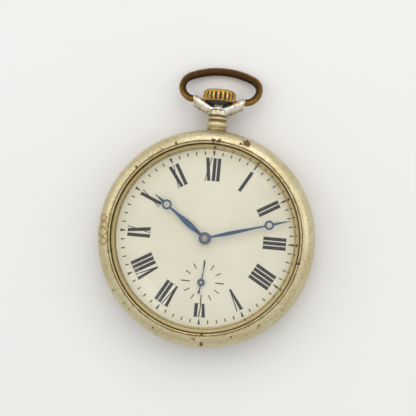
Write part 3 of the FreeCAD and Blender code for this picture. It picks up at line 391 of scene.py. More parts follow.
def bright_nickel():
    """The yoke: worn bright, with scratches and soft dents, and reddish streaks that are partly scratches and
    partly a painted reflection.
    """
    look = Surface("bright_nickel", Metallic=1.0)
    # Reddish streaks: partly scratches, partly a painted pink reflection.
    scratch_and_reflection = look.noise(1.0, 3.0, look.vector("MULTIPLY", look.place, (2.2, 9.0, 4.0)))
    tint = look.ramp(look.noise(0.55, 3.0), 0.42, 0.66)
    colour = look.mix(tint, rgb(0.74, 0.71, 0.63), rgb(0.50, 0.43, 0.29))
    colour = look.mix(look.ramp(scratch_and_reflection, 0.52, 0.66, 0.0, 0.8), colour, rgb(0.30, 0.20, 0.14))
    look.set("Base Color", colour)
    look.set("Roughness", look.ramp(look.noise(1.3, 3.0), 0.3, 0.7, 0.16, 0.34))
    look.bump(look.math("ADD", look.noise(0.9, 2.0), look.both(scratch_and_reflection, 0.25)), 0.10, 0.8)
    return look.material


def brown_brass():
    """The bow: brown tarnish, worn to brass on the outer side of the wire; that brass is also a painted
    highlight on the outer and upper side, and the dark inner side is painted shade.
    """
    look = Surface("brown_brass")
    # The outer attribute is highest on the outer and upper side of the wire: brass there is partly wear,
    # partly painted highlight.
    outer = look.node("ShaderNodeAttribute", attribute_name="outer").outputs["Fac"]
    along = look.noise(0.5, 4.0, roughness=0.6)
    fine = look.noise(3.5, 5.0, roughness=0.7)
    out = look.ramp(outer, 0.2, 1.0)
    wear_and_highlight = look.both(out, look.ramp(look.math("ADD", along, look.both(fine, 0.5)), 0.5, 0.95, 0.4, 1.0))
    colour = look.mix(look.ramp(fine, 0.35, 0.7), rgb(0.024, 0.011, 0.004), rgb(0.085, 0.040, 0.010))
    colour = look.mix(wear_and_highlight, colour, look.mix(fine, rgb(0.23, 0.110, 0.016), rgb(0.40, 0.215, 0.040)))
    look.set("Base Color", colour)
    look.set("Metallic", look.ramp(wear_and_highlight, 0.0, 1.0, 0.85, 0.95))
    look.set("Roughness", look.ramp(fine, 0.3, 0.75, 0.34, 0.55))
    look.bump(look.math("ADD", look.both(along, 0.6), look.both(fine, 0.4)), 0.06, 0.7)
    return look.material


def crown_brass():
    """The crown: brass ribs worn bright, with dark grey painted shade in the flutes and under the skirt."""
    look = Surface("crown_brass")
    hollow = look.node("ShaderNodeAttribute", attribute_name="hollow").outputs["Fac"]
    fine = look.noise(4.5, 4.0, roughness=0.65)
    # Painted shade: dark grey in the flutes and under the skirt, where the hollow attribute is high.
    dark = look.ramp(look.math("ADD", hollow, look.both(look.math("SUBTRACT", fine, 0.5), 0.5)), 0.12, 0.45)
    colour = look.mix(look.ramp(fine, 0.35, 0.7), rgb(0.60, 0.34, 0.06), rgb(0.74, 0.47, 0.11))
    colour = look.mix(look.ramp(look.noise(1.1, 3.0), 0.5, 0.7, 0.0, 0.55), colour, rgb(0.30, 0.13, 0.025))
    colour = look.mix(dark, colour, look.mix(fine, rgb(0.018, 0.018, 0.022), rgb(0.09, 0.09, 0.10)))
    look.set("Base Color", colour)
    look.set("Metallic", look.ramp(dark, 0.0, 1.0, 1.0, 0.6))
    look.set("Roughness", look.ramp(dark, 0.0, 1.0, 0.26, 0.5))
    look.bump(fine, 0.03, 0.6)
    return look.material


def cream_lacquer():
    """The dial: cream lacquer, a little uneven with age, finely turned in the small seconds ring."""
    look = Surface("cream_lacquer", Roughness=0.5, Specular_IOR_Level=0.3)
    cloud = look.ramp(look.noise(0.11, 4.0), 0.35, 0.65)
    speck = look.ramp(look.noise(5.0, 3.0, roughness=0.7), 0.66, 0.80)
    radius, _ = look.polar()
    colour = look.mix(cloud, rgb(0.735, 0.706, 0.588), rgb(0.767, 0.744, 0.636))
    colour = look.mix(look.ramp(radius, 19.2, 20.3, 0.0, 0.8), colour, rgb(0.72, 0.70, 0.60))
    colour = look.mix(look.both(speck, 0.16), colour, rgb(0.45, 0.36, 0.20))
    look.set("Base Color", colour)
    small_radius, _ = look.polar((0, SECONDS_Y, 0))
    inside = look.ramp(small_radius, SUBDIAL_RADIUS + 0.05, SUBDIAL_RADIUS - 0.05)
    rings = look.math("SINE", look.both(small_radius, 42.0))
    height = look.math("ADD", look.both(look.both(rings, inside), 0.2), look.noise(6.0, 3.0))
    look.bump(height, 0.012, 0.6)
    return look.material


def ink():
    """Printed blue black ink, slightly broken at its surface."""
    look = Surface("ink", Specular_IOR_Level=0.2)
    fine = look.noise(7.0, 3.0)
    colour = look.mix(look.ramp(fine, 0.4, 0.7), rgb(0.0035, 0.003, 0.007), rgb(0.008, 0.007, 0.015))
    look.set("Base Color", colour)
    look.set("Roughness", look.ramp(fine, 0.3, 0.7, 0.38, 0.55))
    look.bump(fine, 0.01, 0.5)
    return look.material


def blued_steel():
    """Heat blued steel: deep blue that runs to a lighter and a violet tone, polished along its length."""
    look = Surface("blued_steel", Metallic=1.0)
    tone = look.ramp(look.noise(0.6, 2.0), 0.35, 0.65)
    fine = look.noise(9.0, 3.0)
    colour = look.mix(tone, rgb(0.022, 0.064, 0.165), rgb(0.045, 0.100, 0.190))
    colour = look.mix(look.ramp(fine, 0.5, 0.75, 0.0, 0.45), colour, rgb(0.085, 0.105, 0.15))
    look.set("Base Color", colour)
    look.set("Roughness", look.ramp(fine, 0.3, 0.7, 0.20, 0.32))
    look.bump(fine, 0.006, 0.5)
    return look.material


def acrylic():
    """Clear old acrylic, with a painted reflection of the bezel in gold on its wall and edge, and painted
    shade in dark brown under the bezel. Light from the lamps passes straight through it to the dial.
    """
    look = Surface("acrylic", Transmission_Weight=1.0, IOR=1.49)
    fine = look.noise(0.8, 4.0, roughness=0.7)
    radius, _ = look.polar()
    colour = look.mix(fine, rgb(0.985, 0.985, 0.955), rgb(0.995, 0.995, 0.975))
    # Painted reflection: gold on the wall and a golden brown ring at the dome's edge stand for the bezel seen
    # in the crystal.
    edge = look.band(radius, DOME_RADIUS, 0.16, 0.05)
    wall = look.ramp(radius, DOME_RADIUS - 0.25, DOME_RADIUS, 0.0, 0.9)
    colour = look.mix(wall, colour, rgb(0.80, 0.69, 0.42))
    colour = look.mix(look.both(edge, 0.7), colour, rgb(0.72, 0.53, 0.20))
    # Painted shade: dark brown where the crystal runs under the bezel.
    look.set("Base Color", look.mix(look.ramp(radius, 21.38, 21.50), colour, rgb(0.42, 0.29, 0.12)))
    look.set("Roughness", look.ramp(fine, 0.4, 0.8, 0.0, 0.03))
    clear = look.node("ShaderNodeBsdfTransparent", {"Color": rgb(0.97, 0.97, 0.95)})
    path = look.node("ShaderNodeLightPath")
    shaders = {0: path.outputs["Is Shadow Ray"], 1: look.shader.outputs[0], 2: clear.outputs[0]}
    both = look.node("ShaderNodeMixShader", shaders)
    look.plug(look.tree.nodes["Material Output"].inputs["Surface"], both.outputs[0])
    return look.material


def plated_movement():
    """Nickel plated bridges with broad straight stripes."""
    look = Surface("plated_movement", Metallic=1.0)
    slant = look.vector("DOT_PRODUCT", look.place, (0.8, 0.6, 0.0))
    stripe = look.math("PINGPONG", slant, 0.9)
    grain = look.noise(1.0, 3.0, look.vector("MULTIPLY", look.place, (9.0, 9.0, 2.0)))
    colour = look.mix(look.ramp(stripe, 0.05, 0.85), rgb(0.60, 0.585, 0.53), rgb(0.80, 0.785, 0.73))
    colour = look.mix(look.ramp(grain, 0.5, 0.8, 0.0, 0.4), colour, rgb(0.50, 0.46, 0.38))
    look.set("Base Color", colour)
    look.set("Roughness", look.ramp(grain, 0.3, 0.7, 0.22, 0.36))
    look.bump(look.math("ADD", look.both(stripe, 0.6), look.both(grain, 0.15)), 0.05, 0.6)
    return look.material


def gilt_brass():
    """Gilt wheels and barrel with a fine round grain."""
    look = Surface("gilt_brass", Metallic=1.0)
    grain = look.round_grain(22.0, 6.0)
    cloud = look.noise(0.7, 3.0)
    colour = look.mix(look.ramp(cloud, 0.35, 0.7), rgb(0.78, 0.56, 0.21), rgb(0.64, 0.43, 0.15))
    look.set("Base Color", colour)
    look.set("Roughness", look.ramp(grain, 0.3, 0.7, 0.20, 0.36))
    look.bump(grain, 0.015, 0.7)
    return look.material


def polished_steel():
    """Steel parts: polished, with fine scratches and a few dull patches."""
    look = Surface("polished_steel", Metallic=1.0)
    grain = look.noise(1.0, 3.0, look.vector("MULTIPLY", look.place, (18.0, 4.0, 6.0)))
    cloud = look.ramp(look.noise(0.9, 3.0), 0.4, 0.7)
    look.set("Base Color", look.mix(cloud, rgb(0.55, 0.55, 0.53), rgb(0.42, 0.41, 0.39)))
    look.set("Roughness", look.ramp(grain, 0.3, 0.7, 0.17, 0.34))
    look.bump(grain, 0.01, 0.6)
    return look.material


def ruby():
    """Synthetic ruby, clear red with a polished face."""
    look = Surface("ruby", Transmission_Weight=0.35, IOR=1.76, Roughness=0.08)
    look.set("Base Color", look.mix(look.noise(2.5, 2.0), rgb(0.45, 0.012, 0.06), rgb(0.70, 0.05, 0.14)))
    return look.material


def small_metal(name, dark, light):
    """The polished ends of arbors, and the collar on the minute hand."""
    look = Surface(name, Metallic=1.0)
    fine = look.noise(8.0, 3.0)
    look.set("Base Color", look.mix(fine, rgb(*dark), rgb(*light)))
    look.set("Roughness", look.ramp(fine, 0.3, 0.7, 0.22, 0.38))
    look.bump(fine, 0.01, 0.5)
    return look.material


def paper():
    """The pale sheet that the watch lies on."""
    look = Surface("paper", Roughness=0.85)
    cloud = look.noise(0.012, 3.0)
    look.set("Base Color", look.mix(cloud, rgb(0.795, 0.789, 0.782), rgb(0.820, 0.815, 0.808)))
    look.bump(look.noise(1.5, 3.0), 0.02, 0.3)
    return look.material


LOOKS = {
    "nickel_case": nickel("worn_nickel"),
    "bright_yoke": bright_nickel(),
    "brown_brass": brown_brass(),
    "worn_brass_crown": crown_brass(),
    "acrylic_crystal": acrylic(),
    "dial_cream": cream_lacquer(),
    "dial_print": ink(),
    "blued_steel": blued_steel(),
    "plated_movement": plated_movement(),
    "gilt_brass": gilt_brass(),
    "steel": polished_steel(),
    "ruby": ruby(),
}
ROSY = small_metal("rosy_brass", (0.36, 0.22, 0.17), (0.55, 0.37, 0.28))
AMBER = small_metal("amber_brass", (0.72, 0.33, 0.05), (0.88, 0.48, 0.09))
# The neck's nickel, with painted shade in its three grooves across Y.
NECK_NICKEL = nickel("neck_nickel", ((24.95, 0.70), (27.29, 0.50), (28.30, 0.40)))
DARK_STEEL = small_metal("dark_steel", (0.070, 0.085, 0.125), (0.14, 0.155, 0.20))


# The case -----------------------------------------------------------------------------------

def carve(target, cutters):
    """Cuts round holes out of a piece. Each cutter is a middle, a direction, a radius and a length,
    and a far radius where it is a cone."""
    mesh = bmesh.new()
    for place, axis, radius, length, *far in cutters:
        matrix = Matrix.Translation(Vector(place) * MM) @ turn_to(axis)
        bmesh.ops.create_cone(mesh, cap_ends=True, segments=48, radius1=radius * MM,
                              radius2=(far[0] if far else radius) * MM, depth=length * MM, matrix=matrix)
    data = mesh_data("cutter", mesh)
    cutter = linked("cutter", data)
    cut = target.modifiers.new("holes", "BOOLEAN")
    cut.operation = "DIFFERENCE"
    cut.object = cutter
    cut.solver = "EXACT"
    cut.use_self = True
    result = modified(target)
    target.modifiers.clear()
    target.data = result
    bpy.data.objects.remove(cutter)
    bpy.data.meshes.remove(data)


def case():
    """The case middle, the back, the bezel and the crystal."""
    nickel_look = LOOKS["nickel_case"]
    middle = arc((24.45, 2.35), (24.7, 7.7), 8.66, -1) + [
        (22.9, 7.7), (22.9, 8.45), (21.1, 8.45), (21.1, 7.15), (18.85, 7.15), (18.85, 6.45), (18.3, 6.45),
        (18.3, 2.6), (22.5, 2.6), (22.5, 3.3), (23.3, 3.3), (23.3, 2.35)]
    ring = piece("case_middle_turned", turned(middle), "case", "nickel_case", nickel_look, "case_middle")
    pockets = [((*polar(17.4, angle), 2.75), (0, 0, 1), 1.3, 5.5) for angle in (30, 210)]
    carve(ring, pockets + [((0, 22, STEM_HEIGHT), (0, 1, 0), STEM_BORE, 10)])

    back = [(0, 0), (16.5, 0)] + arc((16.5, 0), (24.35, 2.3), 14, -1)[1:] + [
        (23.22, 2.3), (23.22, 3.2), (22.6, 3.2)] + arc((22.6, 2.15), (16.3, 0.6), 12, 1) + [(0, 0.6)]
    piece("case_back_turned", turned(back), "case_back", "nickel_case", nickel_look, "case_back")

    rim = arc((24.7, 7.75), (22.5, 9.86), 2.75, -1, 20) + [
        (22.37, 9.85), (22.29, 9.72), (22.20, 9.72), (22.12, 9.83), (21.98, 9.88), (21.80, 9.82),
        (21.72, 9.66), (21.72, 9.40), (21.95, 9.30), (21.95, 8.55), (23.0, 8.55), (23.0, 7.75)]
    piece("bezel_turned", turned(rim, corner=0.05), "bezel", "nickel_case", nickel_look, "bezel")

    dome = [(20.3, 8.85), (21.93, 8.85), (21.93, 9.25), (21.5, 9.25)]
    dome += arc((DOME_RADIUS, 10.75), (0, 11.9), (DOME_RADIUS ** 2 + 1.15 ** 2) / 2.3, -1, 24)
    dome += arc((0, 10.9), (20.3, 9.85), (20.3 ** 2 + 1.05 ** 2) / 2.1, 1, 24)
    piece("crystal_turned", turned(dome, corner=0.12), "bezel", "acrylic_crystal", LOOKS["acrylic_crystal"],
          "crystal")


def neck():
    """The pendant neck: a round bead between two grooves, under a collar."""
    outline = [(0, 24.55), (2.2, 24.55), (2.2, 25.45), (2.06, 25.62)]
    outline += arc((2.1, 25.66), (2.1, 27.12), 0.86, -1)
    outline += [(1.93, 27.2), (1.93, 27.38), (2.1, 27.46)] + arc((2.14, 27.55), (2.14, 28.1), 0.5, -1, 6)
    outline += [(1.97, 28.2), (1.97, 28.36), (2.18, 28.44), (2.2, 28.6), (0, 28.6)]
    mesh = laid_along_stem(turned(outline, SMALL_TURNS, 0.04))
    piece("pendant_neck_turned", mesh, "case", "nickel_case", NECK_NICKEL, "pendant_neck")


# The yoke's limbs, before they are melted together: start and end (across, up), radius at each.
LIMBS = (((0, 28.6), (0, 29.7), 2.42, 2.3), ((0, 29.0), (0, 31.25), 2.0, 1.3),
         ((0.1, 29.05), (6.4, 31.85), 1.50, 1.36), ((-0.1, 29.05), (-6.4, 31.85), 1.50, 1.36))


def yoke():
    """A cast fork: a round foot and two arms, cut away for the crown and bored for the stem and the bow."""
    mesh = bmesh.new()
    for start, end, first, last in LIMBS:
        start, end = Vector((*start, STEM_HEIGHT)), Vector((*end, STEM_HEIGHT))
        matrix = Matrix.Translation((start + end) / 2) @ turn_to(end - start)
        bmesh.ops.create_cone(mesh, cap_ends=True, segments=64, radius1=first, radius2=last,
                              depth=(end - start).length, matrix=matrix)
    data = mesh_data("fork", mesh)
    holder = linked("fork", data)
    remesh = holder.modifiers.new("remesh", "REMESH")
    remesh.mode = "VOXEL"
    remesh.voxel_size = 0.08
    smooth = holder.modifiers.new("smooth", "SMOOTH")
    smooth.factor = 0.5
    smooth.iterations = 14
    soft = modified(holder)
    mesh = bmesh.new()
    mesh.from_mesh(soft)
    bpy.data.objects.remove(holder)
    bpy.data.meshes.remove(soft)
    bpy.data.meshes.remove(data)
    fork = piece("bow_yoke_cast", mesh, "case", "bright_yoke", LOOKS["bright_yoke"], "bow_yoke")
    along, across = (0, 1, 0), (1, 0, 0)
    cutters = [((0, 31.65, STEM_HEIGHT), along, 1.6, 1.2, 3.75), ((0, 34.2, STEM_HEIGHT), along, 3.95, 4.0),
               ((0, 30, STEM_HEIGHT), along, STEM_BORE, 4),
               ((0, HINGE_Y, STEM_HEIGHT), across, HINGE_BORE, 16)]
    cutters += [((side * (EAR_REACH + 1), HINGE_Y, STEM_HEIGHT), across, 4, 2) for side in (1, -1)]
    carve(fork, cutters)


# Crown and bow ------------------------------------------------------------------------------

FLUTES = 22
FLUTE_FACETS = 24
FLUTE_WIDTH = 0.62
FLUTE_DEPTH = 0.30
FLUTE_MIDDLE = 32.95
FLUTE_REACH = 0.88
FLUTED_RADIUS = 3.3              # no flute comes nearer to the stem than this
CROWN_RADIUS = 3.84
CROWN_MIDDLE = 32.98
CROWN_HALF = 1.14                # half the length of the barrel shaped part
BOW_LEAN = -27.5                 # degrees about its hinge, towards the table
WIRE_RADIUS = 0.8
WIRE_SIDES = 32
COLLAR_RADIUS = 0.70
COLLAR_MIDDLE = 5.92


def flute(radius, height, turn):
    """How deep the crown's flute is at a place on its side, from 0 to 1."""
    along = (height - FLUTE_MIDDLE) / FLUTE_REACH
    if abs(along) >= 1 or radius < FLUTED_RADIUS:
        return 0.0
    pitch = math.tau / FLUTES
    across = ((turn / pitch + 0.5) % 1 - 0.5) * pitch * radius
    half = FLUTE_WIDTH / 2 * math.sqrt(1 - along ** 4)
    return max(0.0, 1 - (across / half) ** 2) ** 0.6


def crown():
    """A fluted barrel with a plain rounded top, and a skirt that narrows to the stem."""
    side = []
    for k in range(37):
        along = k / 18 - 1
        side.append((CROWN_RADIUS - 0.42 * abs(along) ** 3.2, CROWN_MIDDLE + CROWN_HALF * along))
    outline = [(0, 31.0), (1.5, 31.0), (3.2, 31.76)] + side
    outline += arc((3.30, 34.20), (2.2, 34.56), 2.2, -1, 8) + [(0, 34.56)]
    mesh = turned(outline, FLUTES * FLUTE_FACETS, 0.1,
                  lambda radius, height, turn: radius - FLUTE_DEPTH * flute(radius, height, turn))
    # How deep each place lies in a flute, and 1 under the skirt: where the crown's material paints shade.
    layer = mesh.verts.layers.float.new("hollow")
    for vertex in mesh.verts:
        x, y, height = vertex.co
        depth = flute(CROWN_RADIUS, height, math.atan2(y, x)) if math.hypot(x, y) > FLUTED_RADIUS else 0.0
        under = 1.0 if height < CROWN_MIDDLE - CROWN_HALF - 0.02 else 0.0
        vertex[layer] = max(depth, under)
    piece("crown_fluted", laid_along_stem(mesh), "crown_and_stem", "worn_brass_crown",
          LOOKS["worn_brass_crown"], "crown")


def bow_path():
    """The right half of the bow's centreline, flat and from its hinge: points (across, up) on three arcs."""
    side, side_x, side_y = 3.5, 5.4, 3.3     # radius and middle of the arc at the side
    top_y, end_x = 8.1, 6.1
    rise = top_y - side_y - side
    drop = (side_x ** 2 - rise ** 2) / (2 * rise)
    top = side + rise + drop
    join = math.atan2(drop, side_x)
    inset = end_x - side_x
    end = (inset ** 2 + side_y ** 2 - side ** 2) / (2 * (side_y - side))
    last = math.atan2(end - side_y, inset)
    half = []
    for radius, (x, y), start, stop, steps in ((top, (0, side_y - drop), math.pi / 2, join, 28),
                                                (side, (side_x, side_y), join, last, 40),
                                                (end, (end_x, end), last, -math.pi / 2, 12)):
        for k in range(steps + 1):
            turn = start + (stop - start) * k / steps
            half.append((x + radius * math.cos(turn), y + radius * math.sin(turn)))
    tidy = [half[0]]
    for point in half[1:]:
        if math.dist(point, tidy[-1]) > 0.02:
            tidy.append(point)
    return tidy


def bow():
    """The bow's wire, thicker at the top and turned down at its ends, and a collar on each end."""
    wire = []
    for x, y in bow_path():
        swell = max(0.0, min(1.0, (y - 3.0) / 4.0))
        swell = swell * swell * (3 - 2 * swell)
        thick = WIRE_RADIUS + 0.17 * swell
        wire.append((x, y - (thick - WIRE_RADIUS) * swell, thick, WIRE_RADIUS))
    wire += [(6.02, 0.0, 0.74, 0.74), (5.98, 0.0, 0.56, 0.56), (5.6, 0.0, 0.55, 0.55), (4.6, 0.0, 0.55, 0.55)]
    wire = [(-x, y, a, b) for x, y, a, b in reversed(wire[1:])] + wire
    mesh, rings = bmesh.new(), []
    layer = mesh.verts.layers.float.new("outer")
    for k, (x, y, thick, deep) in enumerate(wire):
        before, after = wire[max(k - 1, 0)], wire[min(k + 1, len(wire) - 1)]
        along = Vector((after[0] - before[0], after[1] - before[1], 0)).normalized()
        across = Vector((-along.y, along.x, 0))
        ring = []
        for n in range(WIRE_SIDES):
            turn = math.tau * n / WIRE_SIDES
            place = Vector((x, y, 0)) + across * thick * math.cos(turn)
            vertex = mesh.verts.new(place + Vector((0, 0, deep * math.sin(turn))))
            # Highest on the outer side of the wire, leaning to its upper side: the bow's material paints
            # highlight there and shade on the inner side.
            vertex[layer] = math.cos(turn) * 0.95 + math.sin(turn) * 0.30
            ring.append(vertex)
        rings.append(ring)
    for low, high in zip(rings, rings[1:]):
        for n in range(WIRE_SIDES):
            after = (n + 1) % WIRE_SIDES
            mesh.faces.new((low[n], low[after], high[after], high[n]))
    mesh.faces.new(rings[0])
    mesh.faces.new(rings[-1])
    lean = Matrix.Rotation(math.radians(BOW_LEAN), 4, "X")
    mesh.transform(Matrix.Translation((0, HINGE_Y, STEM_HEIGHT)) @ lean)
    piece("bow_wire", mesh, "bow", "brown_brass", LOOKS["brown_brass"], "bow")
    mesh = bmesh.new()
    for side in (1, -1):
        place = Matrix.Translation((side * COLLAR_MIDDLE, HINGE_Y, STEM_HEIGHT))
        place = place @ Matrix.Rotation(math.radians(90), 4, "Y")
        bmesh.ops.create_cone(mesh, cap_ends=True, segments=40, radius1=COLLAR_RADIUS, radius2=COLLAR_RADIUS,
                              depth=0.28, matrix=place)
    bevel = [edge for edge in mesh.edges if not edge.is_boundary
             and len(edge.link_faces[0].verts) != len(edge.link_faces[1].verts)]
    bmesh.ops.bevel(mesh, geom=bevel, offset=0.06, segments=3, affect="EDGES")
    piece("bow_end_collars", mesh, "bow", "bright_yoke", LOOKS["bright_yoke"])


# Dial and hands -----------------------------------------------------------------------------

NUMERALS = ("XII", "I", "II", "III", "IIII", "V", "VI", "VII", "VIII", "IX", "X", "XI")
PRINT_CENTRE = (0.28, 0.24)      # the dial was printed a little off the hands' centre
STROKE_GAP = 0.23
BAR = 0.78
STROKE_WIDTHS = {"I": BAR, "V": 1.60, "X": 1.46}
NUMERAL_INNER = 12.95
NUMERAL_OUTER = 18.2
SIX_INNER = 15.1                 # the six is cut short by the small seconds ring
SERIF = 0.06
# Marks: inner and outer radius, width at each.
HOUR_TICK = (18.62, 19.90, 0.16, 0.62)
MINUTE_TICK = (18.88, 19.68, 0.25, 0.30)
QUARTER_TICK = (2.9, 4.9, 0.24, 0.28)
SECONDS_TICK = (3.25, 4.6, 0.20, 0.24)
# Hands: underside and top.
HOUR_HEIGHTS = (8.45, 8.63)
MINUTE_HEIGHTS = (9.0, 9.18)
SECONDS_HEIGHTS = (7.95, 8.07)
HOUR_RING_AT = 11.7
MINUTE_RING_AT = 15.0


def strokes(letter, left, inner, outer):
    """The outlines of one letter between two radii, as (across, radius)."""
    if letter == "I":
        return [[(left, inner), (left + BAR, inner), (left + BAR, outer), (left, outer)]]
    if letter == "X":
        return [[(left + 0.66, inner), (left + 1.42, inner), (left + 0.76, outer), (left, outer)],
                [(left + 0.04, inner), (left + 0.24, inner), (left + 1.42, outer), (left + 1.22, outer)]]
    cut_off = 1 - (outer - inner) / (NUMERAL_OUTER - NUMERAL_INNER)
    foot = [x + (end - x) * cut_off for x, end in ((0.68, 0.0), (1.12, 0.78), (0.86, 1.34), (1.06, 1.60))]
    return [[(left + foot[0], inner), (left + foot[1], inner), (left + 0.78, outer), (left, outer)],
            [(left + foot[2], inner), (left + foot[3], inner), (left + 1.60, outer), (left + 1.34, outer)]]


def numeral(text, angle):
    """The outlines of one numeral and its serifs, placed on the dial."""
    inner = SIX_INNER if text == "VI" else NUMERAL_INNER
    width = sum(STROKE_WIDTHS[letter] for letter in text) + STROKE_GAP * (len(text) - 1)
    left, outlines = -width / 2, []
    for letter in text:
        outlines += strokes(letter, left, inner, NUMERAL_OUTER)
        left += STROKE_WIDTHS[letter] + STROKE_GAP
    for low, high in ((inner, inner + SERIF), (NUMERAL_OUTER - SERIF, NUMERAL_OUTER)):
        across = [x for outline in outlines for x, radius in outline if low - 0.2 <= radius <= high + 0.2]
        start, end = min(across) - 0.10, max(across) + 0.10
        outlines.append([(start, low), (end, low), (end, high), (start, high)])
    return [placed(outline, angle) for outline in outlines]


def placed(outline, angle, centre=PRINT_CENTRE):
    """An outline of (across, radius) turned to its place on the dial, clockwise from twelve."""
    sine, cosine = math.sin(math.radians(angle)), math.cos(math.radians(angle))
    return [(centre[0] + across * cosine + radius * sine, centre[1] - across * sine + radius * cosine)
            for across, radius in outline]


def tick(inner, outer, inner_width, outer_width, angle, centre=PRINT_CENTRE):
    """A mark between two radii."""
    return placed([(-inner_width / 2, inner), (inner_width / 2, inner),
                   (outer_width / 2, outer), (-outer_width / 2, outer)], angle, centre)


def dial_print():
    """The numerals and the two tracks, printed on the dial."""
    look = LOOKS["dial_print"]
    hours = [shape for k, text in enumerate(NUMERALS) for shape in numeral(text, 30 * k)]
    piece("hour_numerals", printed(hours, DIAL_TOP), "case", "dial_print", look)
    minutes = [tick(*(HOUR_TICK if k % 5 == 0 else MINUTE_TICK), 6 * k) for k in range(60)]
    piece("minute_track", printed(minutes, DIAL_TOP), "case", "dial_print", look)
    small = (PRINT_CENTRE[0], SECONDS_Y + PRINT_CENTRE[1] / 2)
    seconds = [tick(*(QUARTER_TICK if k % 3 == 0 else SECONDS_TICK), 30 * k, small) for k in range(12)]
    piece("seconds_track", printed(seconds, SUBDIAL_TOP), "case", "dial_print", look)


def smooth_between(value, low, high, start, end):
    """A smooth step from start to end as a value goes from low to high."""
    t = max(0.0, min(1.0, (value - low) / (high - low)))
    return start + (end - start) * t * t * (3 - 2 * t)


def hand_outline(boss, start_half, belly, belly_half, neck_half, ring_at, ring, tip_half, length):
    """A leaf hand that points at twelve, with a ring before its point."""
    places = {-boss * math.cos(math.pi * k / 40) for k in range(41)}
    places |= {ring_at - ring * math.cos(math.pi * k / 36) for k in range(37)}
    places |= {boss * 0.9 + (length - boss * 0.9) * k / 120 for k in range(121)}
    right = []
    for place in sorted(places):
        half = 0.0
        if abs(place) < boss:
            half = math.sqrt(boss ** 2 - place ** 2)
        if abs(place - ring_at) < ring:
            half = max(half, math.sqrt(ring ** 2 - (place - ring_at) ** 2))
        if 0 < place <= belly:
            half = max(half, smooth_between(place, boss, belly, start_half, belly_half))
        elif belly < place <= ring_at:
            half = max(half, smooth_between(place, belly, ring_at - ring, belly_half, neck_half))
        elif place > ring_at:
            share = (place - ring_at) / (length - ring_at)
            half = max(half, 0.025 + tip_half * (1 - share) ** 0.85)
        right.append((max(half, 0.02), place))
    return right + [(-half, place) for half, place in reversed(right)]


def hands():
    """The three hands, with the collar on the minute hand and the polished ends of the two arbors."""
    blue = LOOKS["blued_steel"]
    hour = hand_outline(1.4, 0.36, 4.6, 0.66, 0.24, HOUR_RING_AT, 1.15, 0.45, 15.3)
    mesh = flat_part([hour, circle(0.72, HOUR_RING_AT), circle(1.05)], *HOUR_HEIGHTS, 0.05)
    piece("hour_hand_leaf", hand_turn(mesh, HOUR_ANGLE), "hour_wheel", "blued_steel", blue, "hour_hand")

    minute = hand_outline(1.375, 0.26, 5.5, 0.42, 0.20, MINUTE_RING_AT, 1.08, 0.36, 20.0)
    mesh = flat_part([minute, circle(0.62, MINUTE_RING_AT), circle(0.6)], *MINUTE_HEIGHTS, 0.05)
    piece("minute_hand_leaf", hand_turn(mesh, MINUTE_ANGLE), "cannon_pinion", "blued_steel", blue,
          "minute_hand")
    collar = [(0.6, 9.17), (1.08, 9.17), (1.08, 9.22), (0.96, 9.25), (0.96, 9.29), (0.80, 9.30), (0.76, 9.26),
              (0.70, 9.26), (0.66, 9.3), (0.6, 9.3)]
    piece("minute_hand_collar", turned(collar, SMALL_TURNS, 0.02), "cannon_pinion", "blued_steel", DARK_STEEL)
    tip = [(0, 9.2), (0.62, 9.2), (0.62, 9.24), (0.42, 9.25), (0.40, 9.22), (0.26, 9.24), (0.24, 9.34)]
    tip += arc((0.22, 9.36), (0, 9.40), 0.8, -1, 6)
    piece("centre_arbor_tip", turned(tip, SMALL_TURNS, 0.02), "cannon_pinion", "steel", ROSY)

    mesh = flat_part([needle_outline()], *SECONDS_HEIGHTS, 0.03)
    piece("seconds_hand_needle", hand_turn(mesh, SECONDS_ANGLE, SECONDS_Y), "fourth_wheel", "blued_steel",
          blue, "seconds_hand")
    pip = [(0, 7.95), (0.3, 7.95), (0.3, 8.12)] + arc((0.3, 8.14), (0, 8.2), 0.9, -1, 6)
    mesh = turned(pip, SMALL_TURNS, 0.03)
    bmesh.ops.translate(mesh, verts=mesh.verts, vec=(0, SECONDS_Y, 0))
    piece("seconds_pivot_tip", mesh, "fourth_wheel", "gilt_brass", AMBER)


def needle_outline():
    """The seconds hand: a thin needle, a round hub, and a tail that ends in a small drop."""
    hub, drop, drop_half, drop_at, length = 0.85, 0.45, 0.27, -2.2, 5.1
    places = {-hub * math.cos(math.pi * k / 36) for k in range(37)}
    places |= {drop_at - drop * math.cos(math.pi * k / 20) for k in range(21)}
    places |= {drop_at + (length - drop_at) * k / 60 for k in range(61)}
    right = []
    for place in sorted(places):
        half = 0.16 - 0.11 * place / length if place > 0 else 0.13
        if place < drop_at:
            half = 0.02
        if abs(place) < hub:
            half = max(half, math.sqrt(hub ** 2 - place ** 2))
        if abs(place - drop_at) < drop:
            half = max(half, drop_half * math.sqrt(1 - ((place - drop_at) / drop) ** 2))
        right.append((half, place))
    return right + [(-half, place) for half, place in reversed(right)]


def movement():
    """Gives every CAD node the look of its material slot."""
    for part in frame["record"]["subparts"]:
        data = frame["nodes"][part["node"]].data
        data.materials.clear()
        data.materials.append(LOOKS[part["material_slot"]])


# Stage --------------------------------------------------------------------------------------

# Two faint streaks in the crystal, each made of lamps inside one another so that its edge is soft.
GLINT_POWER = 0.035              # watts for a metre of length
GLINT_WIDTH = 0.012
GLINT_SHARES = (1.0, 0.7, 0.42)
GLINTS = (((0.040, 0.120, 0.50), 0.060), ((-0.135, -0.080, 0.50), 0.095))      # place, length
FLOOR_DROP = 0.00002             # metres; keeps the sheet and the back's face from sharing a plane
PICTURE_TURN = 5.3               # degrees, of the watch in the picture
SEEN_FROM_RIGHT = 5.0            # degrees off the dial's axis
SEEN_FROM_BELOW = 2.3
TARGET = (0.47, 7.04, 6)         # in the picture's own axes
CAMERA_DISTANCE = 0.45           # metres
LENS = 169.6


